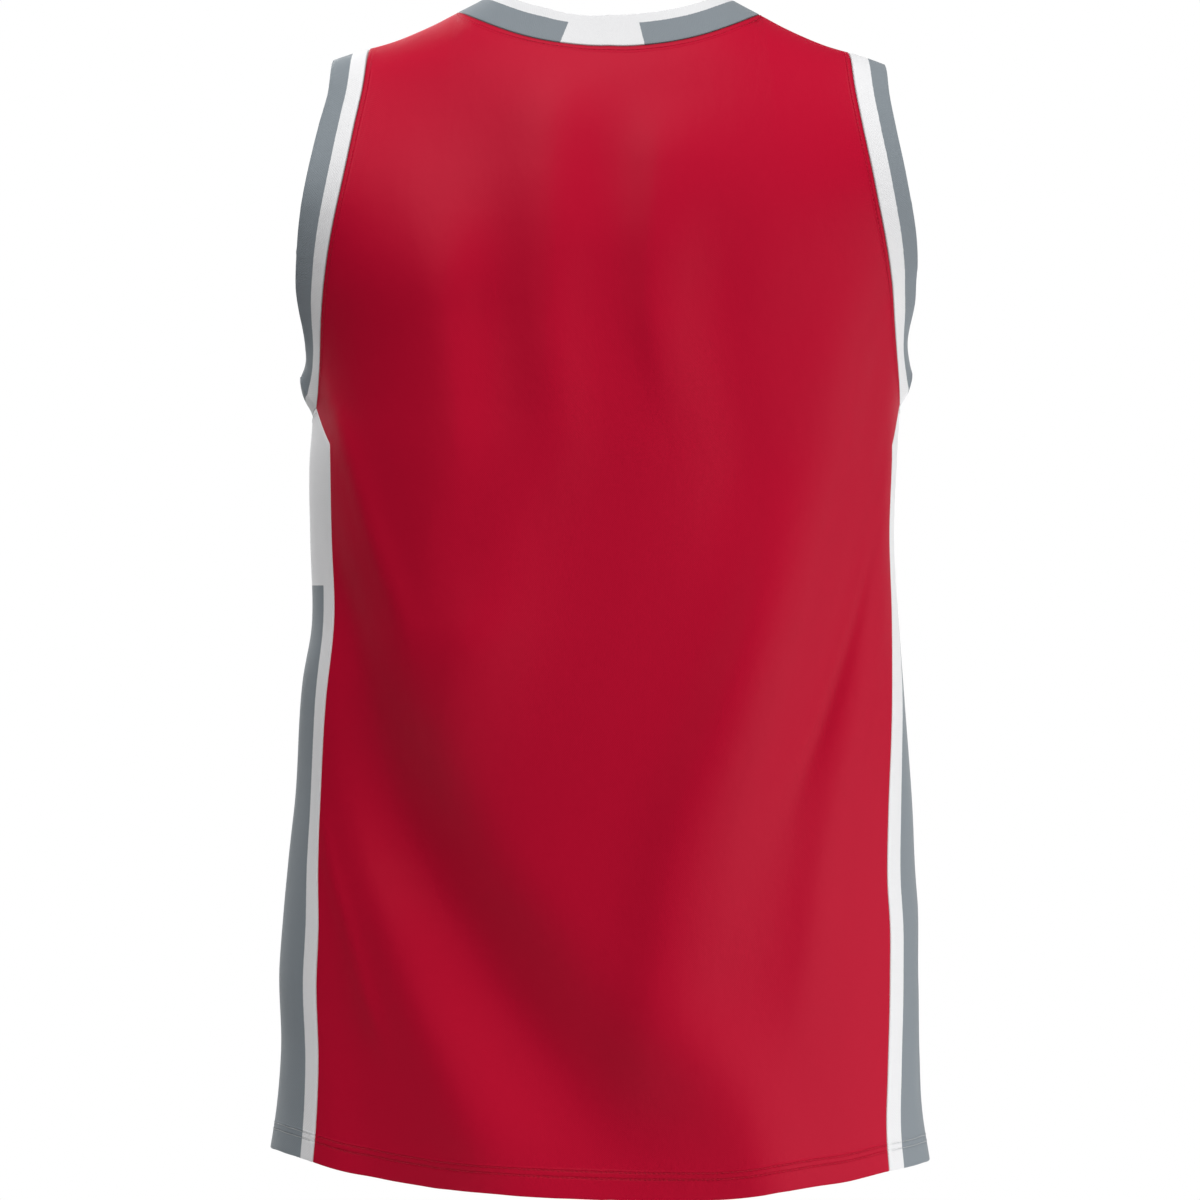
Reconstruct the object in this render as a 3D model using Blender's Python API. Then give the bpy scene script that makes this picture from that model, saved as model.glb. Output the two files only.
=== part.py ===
"""Basketball jersey in its worn form with no wearer: a hollow tube of cloth, open at neck, armholes and hem.

Metres, +Z up. +X is the wearer's left and the back faces +Y. The origin is at the middle of the shoulder
line, where a wearer's shoulders hold the jersey up.

Every point of the cloth has an address: the angle round the body from the centre back, positive towards the
wearer's left, and the run of cloth down from the shoulder line. Panels are cut in addresses, so pieces that
are sewn together share their seam's points, and bands grow from those same points.
"""

import bmesh
import bpy
import numpy as np

CLOTH = 0.002
SEAM_GAP = 0.0003

SHOULDER_ROUND = 0.200
NECK_HALF_WIDTH = 0.100
BACK_NECK_RUN = 0.161
BACK_NECK_SQUARENESS = 2.2
FRONT_NECK_RUN = 0.305
FRONT_NECK_BOW = 0.85
COLLAR_WIDTH = 0.0270
COLLAR_LEAN = 3.0
MITRE_STATIONS = 3
ARMHOLE_BAND_WIDTH = 0.0255
BAND_TURN_SPREAD = 0.016
UNDERARM_SEAM_DIP = 0.0028

SIDE_SEAM_HEM_DOWN = 0.7660
KINK_DOWN = 0.3032
UNDERARM_CORNER_DOWN = 0.2755

SIDE_ROWS = 24
ROOF_ROWS = 2
ARMHOLE_ROWS = 14
BACK_NECK_COLUMNS = 16
FRONT_NECK_COLUMNS = 16
SHOULDER_COLUMNS = 6
SIDE_PANEL_COLUMNS = 8
BAND_CELLS = 4
COLLAR_CELLS = 3
BAND_FINE_STEPS = 8
BULGE_NEAR_SEAM = 0.6
UNDERARM_DIP_ROWS = 3
DEPTH_ROUNDS = 6
SHARP_EDGE_DEGREES = 50

RED = (0.49, 0.013, 0.040)
WHITE = (0.82, 0.82, 0.83)
GREY = (0.24, 0.27, 0.29)
PANEL_ROUGHNESS = 0.62
BAND_ROUGHNESS = 0.75


class Table:
    """Rows of named columns. The first column is the place, and the others are read smoothly between rows."""

    def __init__(self, columns, *rows):
        self.columns = columns.split()
        self.values = np.array(rows, dtype=float)

    def read(self, column, place):
        at = self.values[:, 0]
        value = self.values[:, self.columns.index(column)]
        slope = np.gradient(value, at)
        place = np.clip(place, at[0], at[-1])
        row = np.clip(np.searchsorted(at, place) - 1, 0, len(at) - 2)
        span = at[row + 1] - at[row]
        u = (place - at[row]) / span
        start = value[row] * (2 * u**3 - 3 * u**2 + 1) + span * slope[row] * (u**3 - 2 * u**2 + u)
        end = value[row + 1] * (3 * u**2 - 2 * u**3) + span * slope[row + 1] * (u**3 - u**2)
        return start + end


# Cross sections of the body at a depth below the shoulder line. twist turns the section, in degrees, and tilt
# lifts its left side, in metres for each metre across.
SECTIONS = Table(
    "down half_width back front shift twist tilt",
    (0.000, 0.3400, 0.1290, 0.1250, -0.0060, 0.0, 0.008),
    (0.036, 0.3400, 0.1290, 0.1250, -0.0060, 0.0, 0.008),
    (0.070, 0.3200, 0.1290, 0.1250, -0.0058, 0.0, 0.005),
    (0.100, 0.2950, 0.1290, 0.1250, -0.0057, 0.0, 0.000),
    (0.130, 0.2700, 0.1290, 0.1250, -0.0065, 0.0, -0.004),
    (0.180, 0.2270, 0.1290, 0.1250, -0.0065, 0.0, -0.008),
    (0.225, 0.2040, 0.1290, 0.1260, -0.0058, 0.5, -0.011),
    (0.275, 0.1950, 0.1290, 0.1260, -0.0048, 3.2, -0.012),
    (0.310, 0.1951, 0.1285, 0.1250, -0.0025, 6.0, -0.010),
    (0.363, 0.1938, 0.1270, 0.1230, -0.0017, 5.7, -0.006),
    (0.414, 0.1946, 0.1250, 0.1210, -0.0038, 4.6, -0.002),
    (0.470, 0.1996, 0.1230, 0.1190, -0.0030, 2.6, 0.002),
    (0.540, 0.2044, 0.1210, 0.1180, -0.0034, -0.5, 0.006),
    (0.582, 0.2080, 0.1210, 0.1180, -0.0017, -0.1, 0.008),
    (0.612, 0.2110, 0.1215, 0.1185, -0.0010, 0.9, 0.010),
    (0.649, 0.2132, 0.1220, 0.1190, 0.0000, 1.0, 0.011),
    (0.704, 0.2128, 0.1240, 0.1200, -0.0007, 0.6, 0.014),
    (0.741, 0.2149, 0.1250, 0.1210, 0.0000, 0.4, 0.015),
    (0.775, 0.2200, 0.1255, 0.1215, 0.0000, 0.3, 0.016),
)
# How far the shoulder line falls, by the distance out from its middle.
SHOULDER = Table(
    "out drop",
    (0.0000, -0.0080),
    (0.0300, -0.0063),
    (0.0550, -0.0020),
    (0.0800, 0.0052),
    (0.1000, 0.0142),
    (0.1130, 0.0210),
    (0.1265, 0.0272),
    (0.1420, 0.0333),
    (0.1580, 0.0378),
    (0.1815, 0.0428),
    (0.2100, 0.0450),
)
ARMHOLE = Table(
    "down back_out front_out",
    (0.0378, 0.1580, 0.1580),
    (0.0700, 0.1580, 0.1520),
    (0.1000, 0.1615, 0.1490),
    (0.1400, 0.1680, 0.1510),
    (0.1800, 0.1765, 0.1600),
    (0.2200, 0.1832, 0.1740),
    (0.2500, 0.1872, 0.1850),
    (0.2755, 0.1915, 0.1915),
)
SIDE_SEAM = Table(
    "down angle",
    (0.3032, 69.2),
    (0.3800, 70.3),
    (0.4600, 67.4),
    (0.5400, 64.1),
    (0.6200, 60.8),
    (0.7000, 59.6),
    (0.7750, 57.6),
)
HEM = Table(
    "angle down",
    (-180.0, 0.7700),
    (-150.0, 0.7680),
    (-122.4, 0.7660),
    (-105.0, 0.7690),
    (-90.0, 0.7714),
    (-75.0, 0.7682),
    (-57.6, 0.7670),
    (-45.0, 0.7700),
    (-35.0, 0.7719),
    (-22.0, 0.7755),
    (-11.0, 0.7759),
    (0.0, 0.7751),
    (12.0, 0.7730),
    (24.0, 0.7704),
    (37.0, 0.7694),
    (45.0, 0.7684),
    (57.6, 0.7656),
    (66.0, 0.7650),
    (75.0, 0.7662),
    (90.0, 0.7704),
    (105.0, 0.7690),
    (122.4, 0.7660),
    (150.0, 0.7680),
    (180.0, 0.7700),
)
# How an armhole band leaves the plane of the panels: bulge is its lean just off the seam, which goes again
# towards the free edge, and the lean of the left or the right band grows all the way out. All are in degrees.
BAND_SET = Table(
    "down bulge left right",
    (0.038, 0.0, -6.0, -10.0),
    (0.070, 0.0, -12.0, -22.0),
    (0.100, 0.0, -4.0, -25.0),
    (0.150, 0.0, 14.0, -20.0),
    (0.185, 0.0, 15.0, -8.0),
    (0.215, 0.0, 8.0, 2.0),
    (0.250, 0.0, -10.0, -10.0),
    (0.265, 14.0, -10.0, -10.0),
    (0.279, 34.0, -12.0, -12.0),
)
# Folds as troughs (negative height) and ridges along a curve from a through b to c, each given by its angle
# and its depth below the shoulder line. low and high are the reach to the side of smaller and of larger angles
# at the end c, and fan is their share of that at a.
FOLD_COLUMNS = "angle_a down_a angle_b down_b angle_c down_c low high fan height".split()
FOLDS = (
    # back: the long diagonal trough from the left underarm and the ridges beyond it
    (88.4, 0.262, 41.9, 0.532, -13.5, 0.805, 0.032, 0.046, 0.7, -0.0146),
    (80.6, 0.271, 28.5, 0.609, -18.1, 0.832, 0.038, 0.045, 0.5, -0.0076),
    (60.0, 0.403, 17.1, 0.608, -20.2, 0.812, 0.032, 0.044, 0.4, -0.0050),
    (56.7, 0.492, 29.9, 0.673, 14.4, 0.771, 0.033, 0.022, 0.9, 0.0067),
    (61.0, 0.535, 40.7, 0.765, 31.0, 0.870, 0.042, 0.028, 1.2, -0.0103),
    # back: shoulder blade lobes and the hollows between them
    (29.1, 0.072, 34.3, 0.314, 30.8, 0.572, 0.042, 0.106, 1.3, 0.0290),
    (11.0, 0.135, 27.8, 0.308, 31.3, 0.438, 0.021, 0.019, 0.9, -0.0064),
    (6.9, 0.046, 9.4, 0.169, 16.2, 0.375, 0.018, 0.020, 1.1, 0.0088),
    (0.0, 0.131, 1.4, 0.230, 1.3, 0.356, 0.026, 0.027, 1.1, 0.0018),
    (-6.4, 0.078, -6.8, 0.179, -7.5, 0.310, 0.020, 0.011, 1.2, 0.0058),
    (-13.8, 0.140, -19.3, 0.258, -15.6, 0.405, 0.020, 0.021, 0.9, -0.0027),
    # back: softer diagonals from the right underarm
    (-63.0, 0.163, -37.9, 0.355, -13.9, 0.669, 0.023, 0.044, 0.9, 0.0117),
    (-66.3, 0.272, -50.5, 0.399, -33.1, 0.532, 0.012, 0.012, 0.7, -0.0021),
    (-66.4, 0.330, -48.1, 0.430, -31.4, 0.571, 0.011, 0.012, 0.7, -0.0036),
    (-64.9, 0.392, -46.4, 0.529, -31.7, 0.714, 0.017, 0.017, 0.8, 0.0038),
    (-35.7, 0.296, -13.6, 0.552, -6.6, 0.738, 0.032, 0.020, 1.0, 0.0088),
    (-2.0, 0.637, -25.8, 0.730, -24.0, 0.822, 0.026, 0.022, 1.2, 0.0059),
    # front: chest lobes, drags from both underarms with a ridge below each, and waves towards the hem
    (151, 0.150, 148, 0.290, 153, 0.450, 0.040, 0.048, 1.1, 0.0120),
    (-147, 0.130, -151, 0.270, -155, 0.410, 0.046, 0.036, 1.0, 0.0100),
    (108, 0.320, 136, 0.460, 180, 0.610, 0.024, 0.034, 0.7, -0.0090),
    (116, 0.420, 144, 0.550, 184, 0.710, 0.030, 0.022, 0.8, 0.0075),
    (-112, 0.310, -134, 0.410, -164, 0.570, 0.028, 0.022, 0.7, -0.0075),
    (-118, 0.400, -142, 0.520, -166, 0.690, 0.018, 0.024, 0.8, 0.0060),
    (168, 0.560, 159, 0.680, 154, 0.830, 0.024, 0.026, 1.1, -0.0075),
    (154, 0.600, 146, 0.710, 142, 0.840, 0.020, 0.016, 1.2, 0.0070),
    (142, 0.540, 133, 0.660, 126, 0.820, 0.022, 0.020, 1.1, -0.0065),
    (-174, 0.580, -167, 0.700, -162, 0.830, 0.022, 0.020, 1.1, -0.0060),
    (-156, 0.640, -149, 0.740, -144, 0.850, 0.016, 0.020, 1.1, 0.0060),
    (-142, 0.560, -134, 0.670, -125, 0.820, 0.020, 0.024, 1.0, -0.0065),
    # sides
    (104, 0.400, 108, 0.520, 112, 0.720, 0.022, 0.022, 1, -0.0150),
    (84, 0.420, 86, 0.500, 88, 0.640, 0.024, 0.024, 1, 0.0120),
    (-92, 0.340, -98, 0.440, -104, 0.560, 0.022, 0.022, 1, -0.0140),
    (-88, 0.600, -84, 0.680, -80, 0.770, 0.018, 0.018, 1, -0.0100),
)
FOLD_ARC = 0.170
FOLD_STEPS = 16
FOLD_TAPER = 0.3
FOLD_SIDEWAYS = 0.15
STEP_ANGLE = 0.2
STEP_RUN = 0.0006


def smooth_step(u):
    u = np.clip(u, 0, 1)
    return u * u * (3 - 2 * u)


def unit(vectors):
    return vectors / np.linalg.norm(vectors, axis=-1, keepdims=True)


def run_at(down, out):
    """Run of cloth from the shoulder line to a depth, at a distance out from the middle."""
    fall = np.maximum(down - SHOULDER.read("drop", out), 0)
    turn = np.arccos(np.clip(1 - fall / SHOULDER_ROUND, 0, 1))
    return SHOULDER_ROUND * turn + np.maximum(fall - SHOULDER_ROUND, 0)


def form(angle, run):
    """Smooth body form, without folds: points at the addresses given."""
    turn = np.minimum(run / SHOULDER_ROUND, np.pi / 2)
    fall = SHOULDER_ROUND * (1 - np.cos(turn)) + np.maximum(run - SHOULDER_ROUND * np.pi / 2, 0)
    middle = SECTIONS.read("shift", 0.0)
    down = fall
    for _ in range(DEPTH_ROUNDS):
        around = np.radians(angle - SECTIONS.read("twist", down))
        x = SECTIONS.read("shift", down) + SECTIONS.read("half_width", down) * np.sin(around)
        down = fall + SHOULDER.read("drop", np.abs(x - middle))
    facing = np.cos(around)
    depth = np.where(facing > 0, SECTIONS.read("back", down), SECTIONS.read("front", down))
    return np.stack([x, depth * facing * np.sin(turn), SECTIONS.read("tilt", down) * x - down], axis=-1)


def facing_out(surface, angle, run):
    """Unit normals of a surface at the addresses given, pointing out of the body."""
    across = surface(angle + STEP_ANGLE, run) - surface(angle - STEP_ANGLE, run)
    along = surface(angle, run + STEP_RUN) - surface(angle, run - STEP_RUN)
    return unit(np.cross(across, along))


def fold_height(angle, down):
    """Height of all folds over the smooth form."""
    total = np.zeros(np.shape(angle))
    u = np.linspace(0, 1, FOLD_STEPS + 1)
    for row in FOLDS:
        fold = dict(zip(FOLD_COLUMNS, row))
        path = []
        for kind in ("angle_", "down_"):
            a, b, c = (fold[kind + end] for end in "abc")
            path.append((1 - u) ** 2 * a + 2 * u * (1 - u) * (2 * b - (a + c) / 2) + u**2 * c)
        nearest = np.full(np.shape(angle), np.inf)
        place = np.zeros(np.shape(angle))
        side = np.zeros(np.shape(angle))
        for k in range(FOLD_STEPS):
            across = np.radians((angle - path[0][k] + 180) % 360 - 180) * FOLD_ARC
            below = down - path[1][k]
            leg_across = np.radians(path[0][k + 1] - path[0][k]) * FOLD_ARC
            leg_below = path[1][k + 1] - path[1][k]
            share = (across * leg_across + below * leg_below) / (leg_across**2 + leg_below**2)
            share = np.clip(share, 0, 1)
            distance = np.hypot(across - share * leg_across, below - share * leg_below)
            closer = distance < nearest
            nearest = np.where(closer, distance, nearest)
            place = np.where(closer, (k + share) / FOLD_STEPS, place)
            side = np.where(closer, leg_across * below - leg_below * across, side)
        reach = np.where(side > 0, fold["low"], fold["high"]) * (fold["fan"] + (1 - fold["fan"]) * place)
        taper = smooth_step(np.minimum(place, 1 - place) / FOLD_TAPER)
        total += fold["height"] * taper * np.exp(-((nearest / reach) ** 2))
    return total


def cloth(angle, run):
    """Outer face of the cloth, folds included."""
    point = form(angle, run)
    height = fold_height(angle, -point[..., 2])
    return point + height[..., None] * facing_out(form, angle, run) * (FOLD_SIDEWAYS, 1, 1)


def hem_run(angle):
    """Run from the shoulder line to the hem."""
    down = HEM.read("down", (angle + 180) % 360 - 180)
    out = np.abs(SECTIONS.read("half_width", down) * np.sin(np.radians(angle)))
    return run_at(down, out)


def address(down, out):
    """Address of a point at a depth and a distance out: its angle from the centre line and its run."""
    return np.degrees(np.arcsin(out / SECTIONS.read("half_width", down))), run_at(down, out)


def panel_edge(armhole_column):
    """A panel's long edge from the hem to the shoulder tip: its angle, and its run as a share of the hem's."""
    side = np.linspace(SIDE_SEAM_HEM_DOWN, KINK_DOWN, SIDE_ROWS + 1)
    side_angle = SIDE_SEAM.read("angle", side)
    side_run = run_at(side, SECTIONS.read("half_width", side) * np.sin(np.radians(side_angle)))
    tip = ARMHOLE.values[0, 0]
    armhole = tip + (UNDERARM_CORNER_DOWN - tip) * np.sin(np.linspace(np.pi / 2, 0, ARMHOLE_ROWS + 1))
    armhole_angle, armhole_run = address(armhole, ARMHOLE.read(armhole_column, armhole))
    armhole_run[-1] = 0
    roof = np.linspace(0, 1, ROOF_ROWS + 1)[1:-1]
    roof_angle = side_angle[-1] + roof * (armhole_angle[0] - side_angle[-1])
    roof_run = side_run[-1] + roof * (armhole_run[0] - side_run[-1])
    run = np.concatenate([side_run, roof_run, armhole_run])
    return np.concatenate([side_angle, roof_angle, armhole_angle]), run / run[0]


def back_neck(columns):
    """Distance out and run of the back neck seam, from the centre to the shoulder line."""
    swing = np.linspace(0, np.pi / 2, columns + 1)
    power = 2 / BACK_NECK_SQUARENESS
    out = NECK_HALF_WIDTH * np.sin(swing) ** power
    return out, BACK_NECK_RUN * np.maximum(np.cos(swing), 0) ** power


def front_neck(columns):
    """The same for the front, a V with slightly bowed legs."""
    share = np.linspace(0, 1, columns + 1)
    return NECK_HALF_WIDTH * share, FRONT_NECK_RUN * (1 - share) ** FRONT_NECK_BOW


def panel_addresses(edge, neck):
    """Angles from the centre line of a whole panel, with each row's share of the hem's run and each column's run
    at its top. Rows go from the hem up, and columns from the wearer's right to the left."""
    edge_angle, edge_share = edge
    out, neck_run = neck
    top_width = SECTIONS.read("half_width", ARMHOLE.values[0, 0])
    neck_angle = np.degrees(np.arcsin(out / top_width))
    shoulder_angle = np.linspace(neck_angle[-1], edge_angle[-1], SHOULDER_COLUMNS + 1)[1:]
    top = np.concatenate([neck_angle, shoulder_angle]) / edge_angle[-1]
    top_run = np.concatenate([neck_run, np.zeros(SHOULDER_COLUMNS)])
    even = np.linspace(0, 1, len(top))
    top = np.concatenate([-top[:0:-1], top])
    even = np.concatenate([-even[:0:-1], even])
    top_run = np.concatenate([top_run[:0:-1], top_run])
    share = edge_share[:, None]
    gathered = (1 - share) ** 2
    angle = edge_angle[:, None] * (even * (1 - gathered) + top * gathered)
    return angle, share, top_run


def drawn_in(points, normals):
    """Moves a panel's border in by half the seam gap."""
    moved = points.copy()
    for line, inside in (
        (np.s_[0, :], np.s_[1, :]),
        (np.s_[-1, :], np.s_[-2, :]),
        (np.s_[:, 0], np.s_[:, 1]),
        (np.s_[:, -1], np.s_[:, -2]),
    ):
        border = points[line]
        legs = unit(np.diff(border, axis=0))
        before = np.concatenate([legs[:1], legs])
        after = np.concatenate([legs, legs[-1:]])
        inward = unit(np.cross(normals[line], before + after))
        inward *= np.sign(np.sum(inward * (points[inside] - border), axis=-1, keepdims=True))
        straightness = np.linalg.norm(before + after, axis=-1, keepdims=True) / 2
        moved[line] += inward * (SEAM_GAP / 2) / straightness
    return moved


def wall(name, points, normals, colour, roughness, ring=False):
    """Closed cloth wall over a grid of outer points. In a ring, the last section meets the first again."""
    sections, across = points.shape[:2]
    mesh = bmesh.new()
    faces = []
    outer = [[mesh.verts.new(p) for p in row] for row in points]
    inner = [[mesh.verts.new(p) for p in row] for row in points - CLOTH * normals]
    spans = sections if ring else sections - 1
    for i in range(spans):
        j = (i + 1) % sections
        for k in range(across - 1):
            faces.append((outer[i][k], outer[j][k], outer[j][k + 1], outer[i][k + 1]))
            faces.append((inner[i][k + 1], inner[j][k + 1], inner[j][k], inner[i][k]))
        faces.append((outer[j][0], outer[i][0], inner[i][0], inner[j][0]))
        faces.append((outer[i][-1], outer[j][-1], inner[j][-1], inner[i][-1]))
    if not ring:
        for k in range(across - 1):
            faces.append((outer[0][k], outer[0][k + 1], inner[0][k + 1], inner[0][k]))
            faces.append((outer[-1][k + 1], outer[-1][k], inner[-1][k], inner[-1][k + 1]))
    for corners in faces:
        mesh.faces.new(corners)
    bmesh.ops.recalc_face_normals(mesh, faces=mesh.faces)
    data = bpy.data.meshes.new(name)
    mesh.to_mesh(data)
    mesh.free()
    data.shade_smooth()
    data.set_sharp_from_angle(angle=np.radians(SHARP_EDGE_DEGREES))
    data.materials.append(dyed_cloth(name, colour, roughness))
    piece = bpy.data.objects.new(name, data)
    bpy.context.collection.objects.link(piece)
    return piece


def dyed_cloth(name, colour, roughness):
    material = bpy.data.materials.new(name)
    material.use_nodes = True
    shader = material.node_tree.nodes["Principled BSDF"]
    shader.inputs["Base Color"].default_value = (*colour, 1)
    shader.inputs["Roughness"].default_value = roughness
    shader.inputs["Metallic"].default_value = 0
    material.diffuse_color = (*colour, 1)
    return material


def make_panel(name, angle, run):
    points = cloth(angle, run)
    normals = facing_out(cloth, angle, run)
    wall(name, drawn_in(points, normals), normals, RED, PANEL_ROUGHNESS)
    return points, normals


def make_side_panel(name, side, back_edge, front_edge):
    """Side panel between the back's and the front's long edges, up to the underarm seam. Returns that seam."""
    rows = SIDE_ROWS + ROOF_ROWS + 1
    share = np.linspace(0, 1, SIDE_PANEL_COLUMNS + 1)
    back_angle, back_share = (values[:rows, None] for values in back_edge)
    front_angle, front_share = (values[:rows, None] for values in front_edge)
    angle = side * (back_angle + share * (180 - front_angle - back_angle))
    run = (back_share + share * (front_share - back_share)) * hem_run(angle[0])
    near_top = smooth_step(1 - (run - run[-1]) / (run[-1 - UNDERARM_DIP_ROWS] - run[-1]))
    run = run + near_top * UNDERARM_SEAM_DIP * (1 - (2 * share - 1) ** 2)
    points = cloth(angle, run)
    normals = facing_out(cloth, angle, run)
    wall(name, drawn_in(points, normals), normals, WHITE, PANEL_ROUGHNESS)
    return points[-1], normals[-1]


def spread(vectors, seam):
    """Evens out directions round a closed seam over a short stretch, so that sections don't bunch."""
    step = np.linalg.norm(seam - np.roll(seam, 1, axis=0), axis=-1)
    place = np.cumsum(step)
    gap = np.abs(place[:, None] - place[None, :])
    gap = np.minimum(gap, place[-1] - gap)
    weight = np.exp(-((gap / BAND_TURN_SPREAD) ** 2)) * step[None, :]
    return weight @ vectors


def band(name, seam, normals, heading, width, bulge, lean, cells):
    """Band round a closed seam. heading leaves the seam in the plane of the panels, and is longer at a mitre."""
    length = np.linalg.norm(heading, axis=-1, keepdims=True)
    share = np.linspace(0, 1, cells * BAND_FINE_STEPS + 1)
    angle = bulge[:, None] * np.sin(np.pi * share**BULGE_NEAR_SEAM) + lean[:, None] * share
    angle = np.radians(angle)[..., None]
    step = heading[:, None] * np.cos(angle) + (length * normals)[:, None] * np.sin(angle)
    legs = width * (step[:, 1:] + step[:, :-1]) / 2 / (cells * BAND_FINE_STEPS)
    track = np.concatenate([np.zeros((len(seam), 1, 3)), np.cumsum(legs, axis=1)], axis=1)
    points = seam[:, None] + track[:, ::BAND_FINE_STEPS]
    points[:, 0] = seam + heading * SEAM_GAP / 2
    facing = normals[:, None] * np.cos(angle) - (heading / length)[:, None] * np.sin(angle)
    wall(name, points, facing[:, ::BAND_FINE_STEPS], GREY, BAND_ROUGHNESS, ring=True)


def make_armhole_band(which, side, back, front, underarm):
    """Armhole band on the points of the back's and front's armhole edges and the side panel's top."""
    rows = ARMHOLE_ROWS + 1
    column = -1 if side > 0 else 0
    back_points, back_normals = (values[-rows:, column] for values in back)
    front_points, front_normals = (values[-rows:, column] for values in front)
    seam = np.concatenate([back_points, front_points[-2::-1], underarm[0][-2:0:-1]])
    normals = np.concatenate([back_normals, front_normals[-2::-1], underarm[1][-2:0:-1]])
    tangent = unit(np.roll(seam, -1, axis=0) - np.roll(seam, 1, axis=0))
    away = spread(side * np.cross(normals, tangent), seam)
    away = unit(away - np.sum(away * normals, axis=-1, keepdims=True) * normals)
    down = -seam[:, 2]
    bulge = BAND_SET.read("bulge", down)
    lean = BAND_SET.read(which, down)
    band("armhole_band_" + which, seam, normals, away, ARMHOLE_BAND_WIDTH, bulge, lean, BAND_CELLS)


def make_collar(back, front):
    """Collar band on the points of the back and front neck seams, mitred at the point of the V."""
    back_points, back_normals = (values[-1, SHOULDER_COLUMNS:-SHOULDER_COLUMNS] for values in back)
    front_points, front_normals = (values[-1, SHOULDER_COLUMNS:-SHOULDER_COLUMNS] for values in front)
    seam = np.concatenate([back_points, front_points[-2:0:-1]])
    normals = np.concatenate([back_normals, front_normals[-2:0:-1]])
    tangent = unit(np.roll(seam, -1, axis=0) - np.roll(seam, 1, axis=0))
    heading = unit(np.cross(tangent, normals))
    point = len(back_points) + FRONT_NECK_COLUMNS // 2 - 1
    legs = [unit(seam[point + step] - seam[point]) for step in (-MITRE_STATIONS, MITRE_STATIONS)]
    sine = np.sqrt((1 - legs[0] @ legs[1]) / 2)
    free_edge = seam + COLLAR_WIDTH * heading
    free_edge[point] = seam[point] + COLLAR_WIDTH / sine * unit(legs[0] + legs[1])
    for step in (-1, 1):
        end = point + step * MITRE_STATIONS
        for k in range(1, MITRE_STATIONS):
            share = np.linalg.norm(seam[point + step * k] - seam[point])
            share /= np.linalg.norm(seam[end] - seam[point])
            free_edge[point + step * k] = (1 - share) * free_edge[point] + share * free_edge[end]
    heading = (free_edge - seam) / COLLAR_WIDTH
    flat = np.zeros(len(seam))
    band("collar", seam, normals, heading, COLLAR_WIDTH, flat, flat + COLLAR_LEAN, COLLAR_CELLS)


def clear_scene():
    for old in list(bpy.data.objects):
        bpy.data.objects.remove(old)


def build():
    clear_scene()
    back_edge = panel_edge("back_out")
    front_edge = panel_edge("front_out")
    angle, share, top_run = panel_addresses(back_edge, back_neck(BACK_NECK_COLUMNS // 2))
    back = make_panel("back", angle, top_run + (hem_run(angle[0]) - top_run) * share)
    angle, share, top_run = panel_addresses(front_edge, front_neck(FRONT_NECK_COLUMNS // 2))
    angle = 180 - angle
    front = make_panel("front", angle, top_run + (hem_run(angle[0]) - top_run) * share)
    for which, side in (("left", 1), ("right", -1)):
        underarm = make_side_panel("side_panel_" + which, side, back_edge, front_edge)
        make_armhole_band(which, side, back, front, underarm)
    make_collar(back, front)


build()
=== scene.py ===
"""Looks of the basketball jersey: knit panels, bands, seams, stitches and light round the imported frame.

Metres, in the frame of the CAD solids: +Z up, +X the wearer's left, the back faces +Y, and the origin is
at the middle of the shoulder line. Every point of the cloth has an address: the angle round the body from
the centre back, positive towards the wearer's left, and the run of cloth down from the shoulder line.
"""

import bpy
import numpy as np
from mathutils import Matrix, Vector


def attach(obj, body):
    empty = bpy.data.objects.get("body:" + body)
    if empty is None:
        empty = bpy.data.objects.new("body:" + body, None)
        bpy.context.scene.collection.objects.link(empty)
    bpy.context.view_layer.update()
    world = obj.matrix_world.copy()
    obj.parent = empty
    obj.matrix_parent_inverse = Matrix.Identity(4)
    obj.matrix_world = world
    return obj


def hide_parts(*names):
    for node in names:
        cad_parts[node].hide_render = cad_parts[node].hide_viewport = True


# Thickness of the panels and the bands, and how their edges turn at the seams and the hem. A fin is the seam
# allowance that stands inwards past the rolled edge.
KNIT = 0.0008
DOUBLE_KNIT = 0.0018
SEAM_GAP = 0.0002
ROLL = 0.0010
FIN_DEPTHS = (0.0022, 0.0045)
BAND_FIN_THICKNESS = 0.0015
BAND_FIN_STEP = 0.0006
HEM_ROLL = 0.00095
HEM_INNER_ROWS = 5
ARC_STEPS = 4
SHARP_ANGLE = 55

# Radius on which the cloth turns down from the shoulder line, and the cut of the neck and the bands.
SHOULDER_ROUND = 0.200
NECK_HALF_WIDTH = 0.100
BACK_NECK_RUN = 0.161
BACK_NECK_SQUARENESS = 2.2
FRONT_NECK_RUN = 0.305
FRONT_NECK_BOW = 0.85
COLLAR_WIDTH = 0.0270
COLLAR_LEAN = 3.0
ARMHOLE_BAND_WIDTH = 0.0255
BAND_TURN_SPREAD = 0.016
UNDERARM_SEAM_DIP = 0.0028
BULGE_NEAR_SEAM = 0.6

# Depths where a side seam starts at the hem, turns in below the arm and meets the armhole.
SIDE_SEAM_HEM_DOWN = 0.7660
KINK_DOWN = 0.3032
UNDERARM_CORNER_DOWN = 0.2755

# Rows and columns of the grids: side seam, short slant up to the armhole, armhole, neck and shoulder.
SIDE_ROWS = 132
ROOF_ROWS = 8
ARMHOLE_ROWS = 84
ARMHOLE_ROW_POWER = 1.4
UNDERARM_DIP_ROWS = 18
NECK_COLUMNS = 42
SHOULDER_COLUMNS = 35
EDGE_COLUMN_POWER = 5
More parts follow.
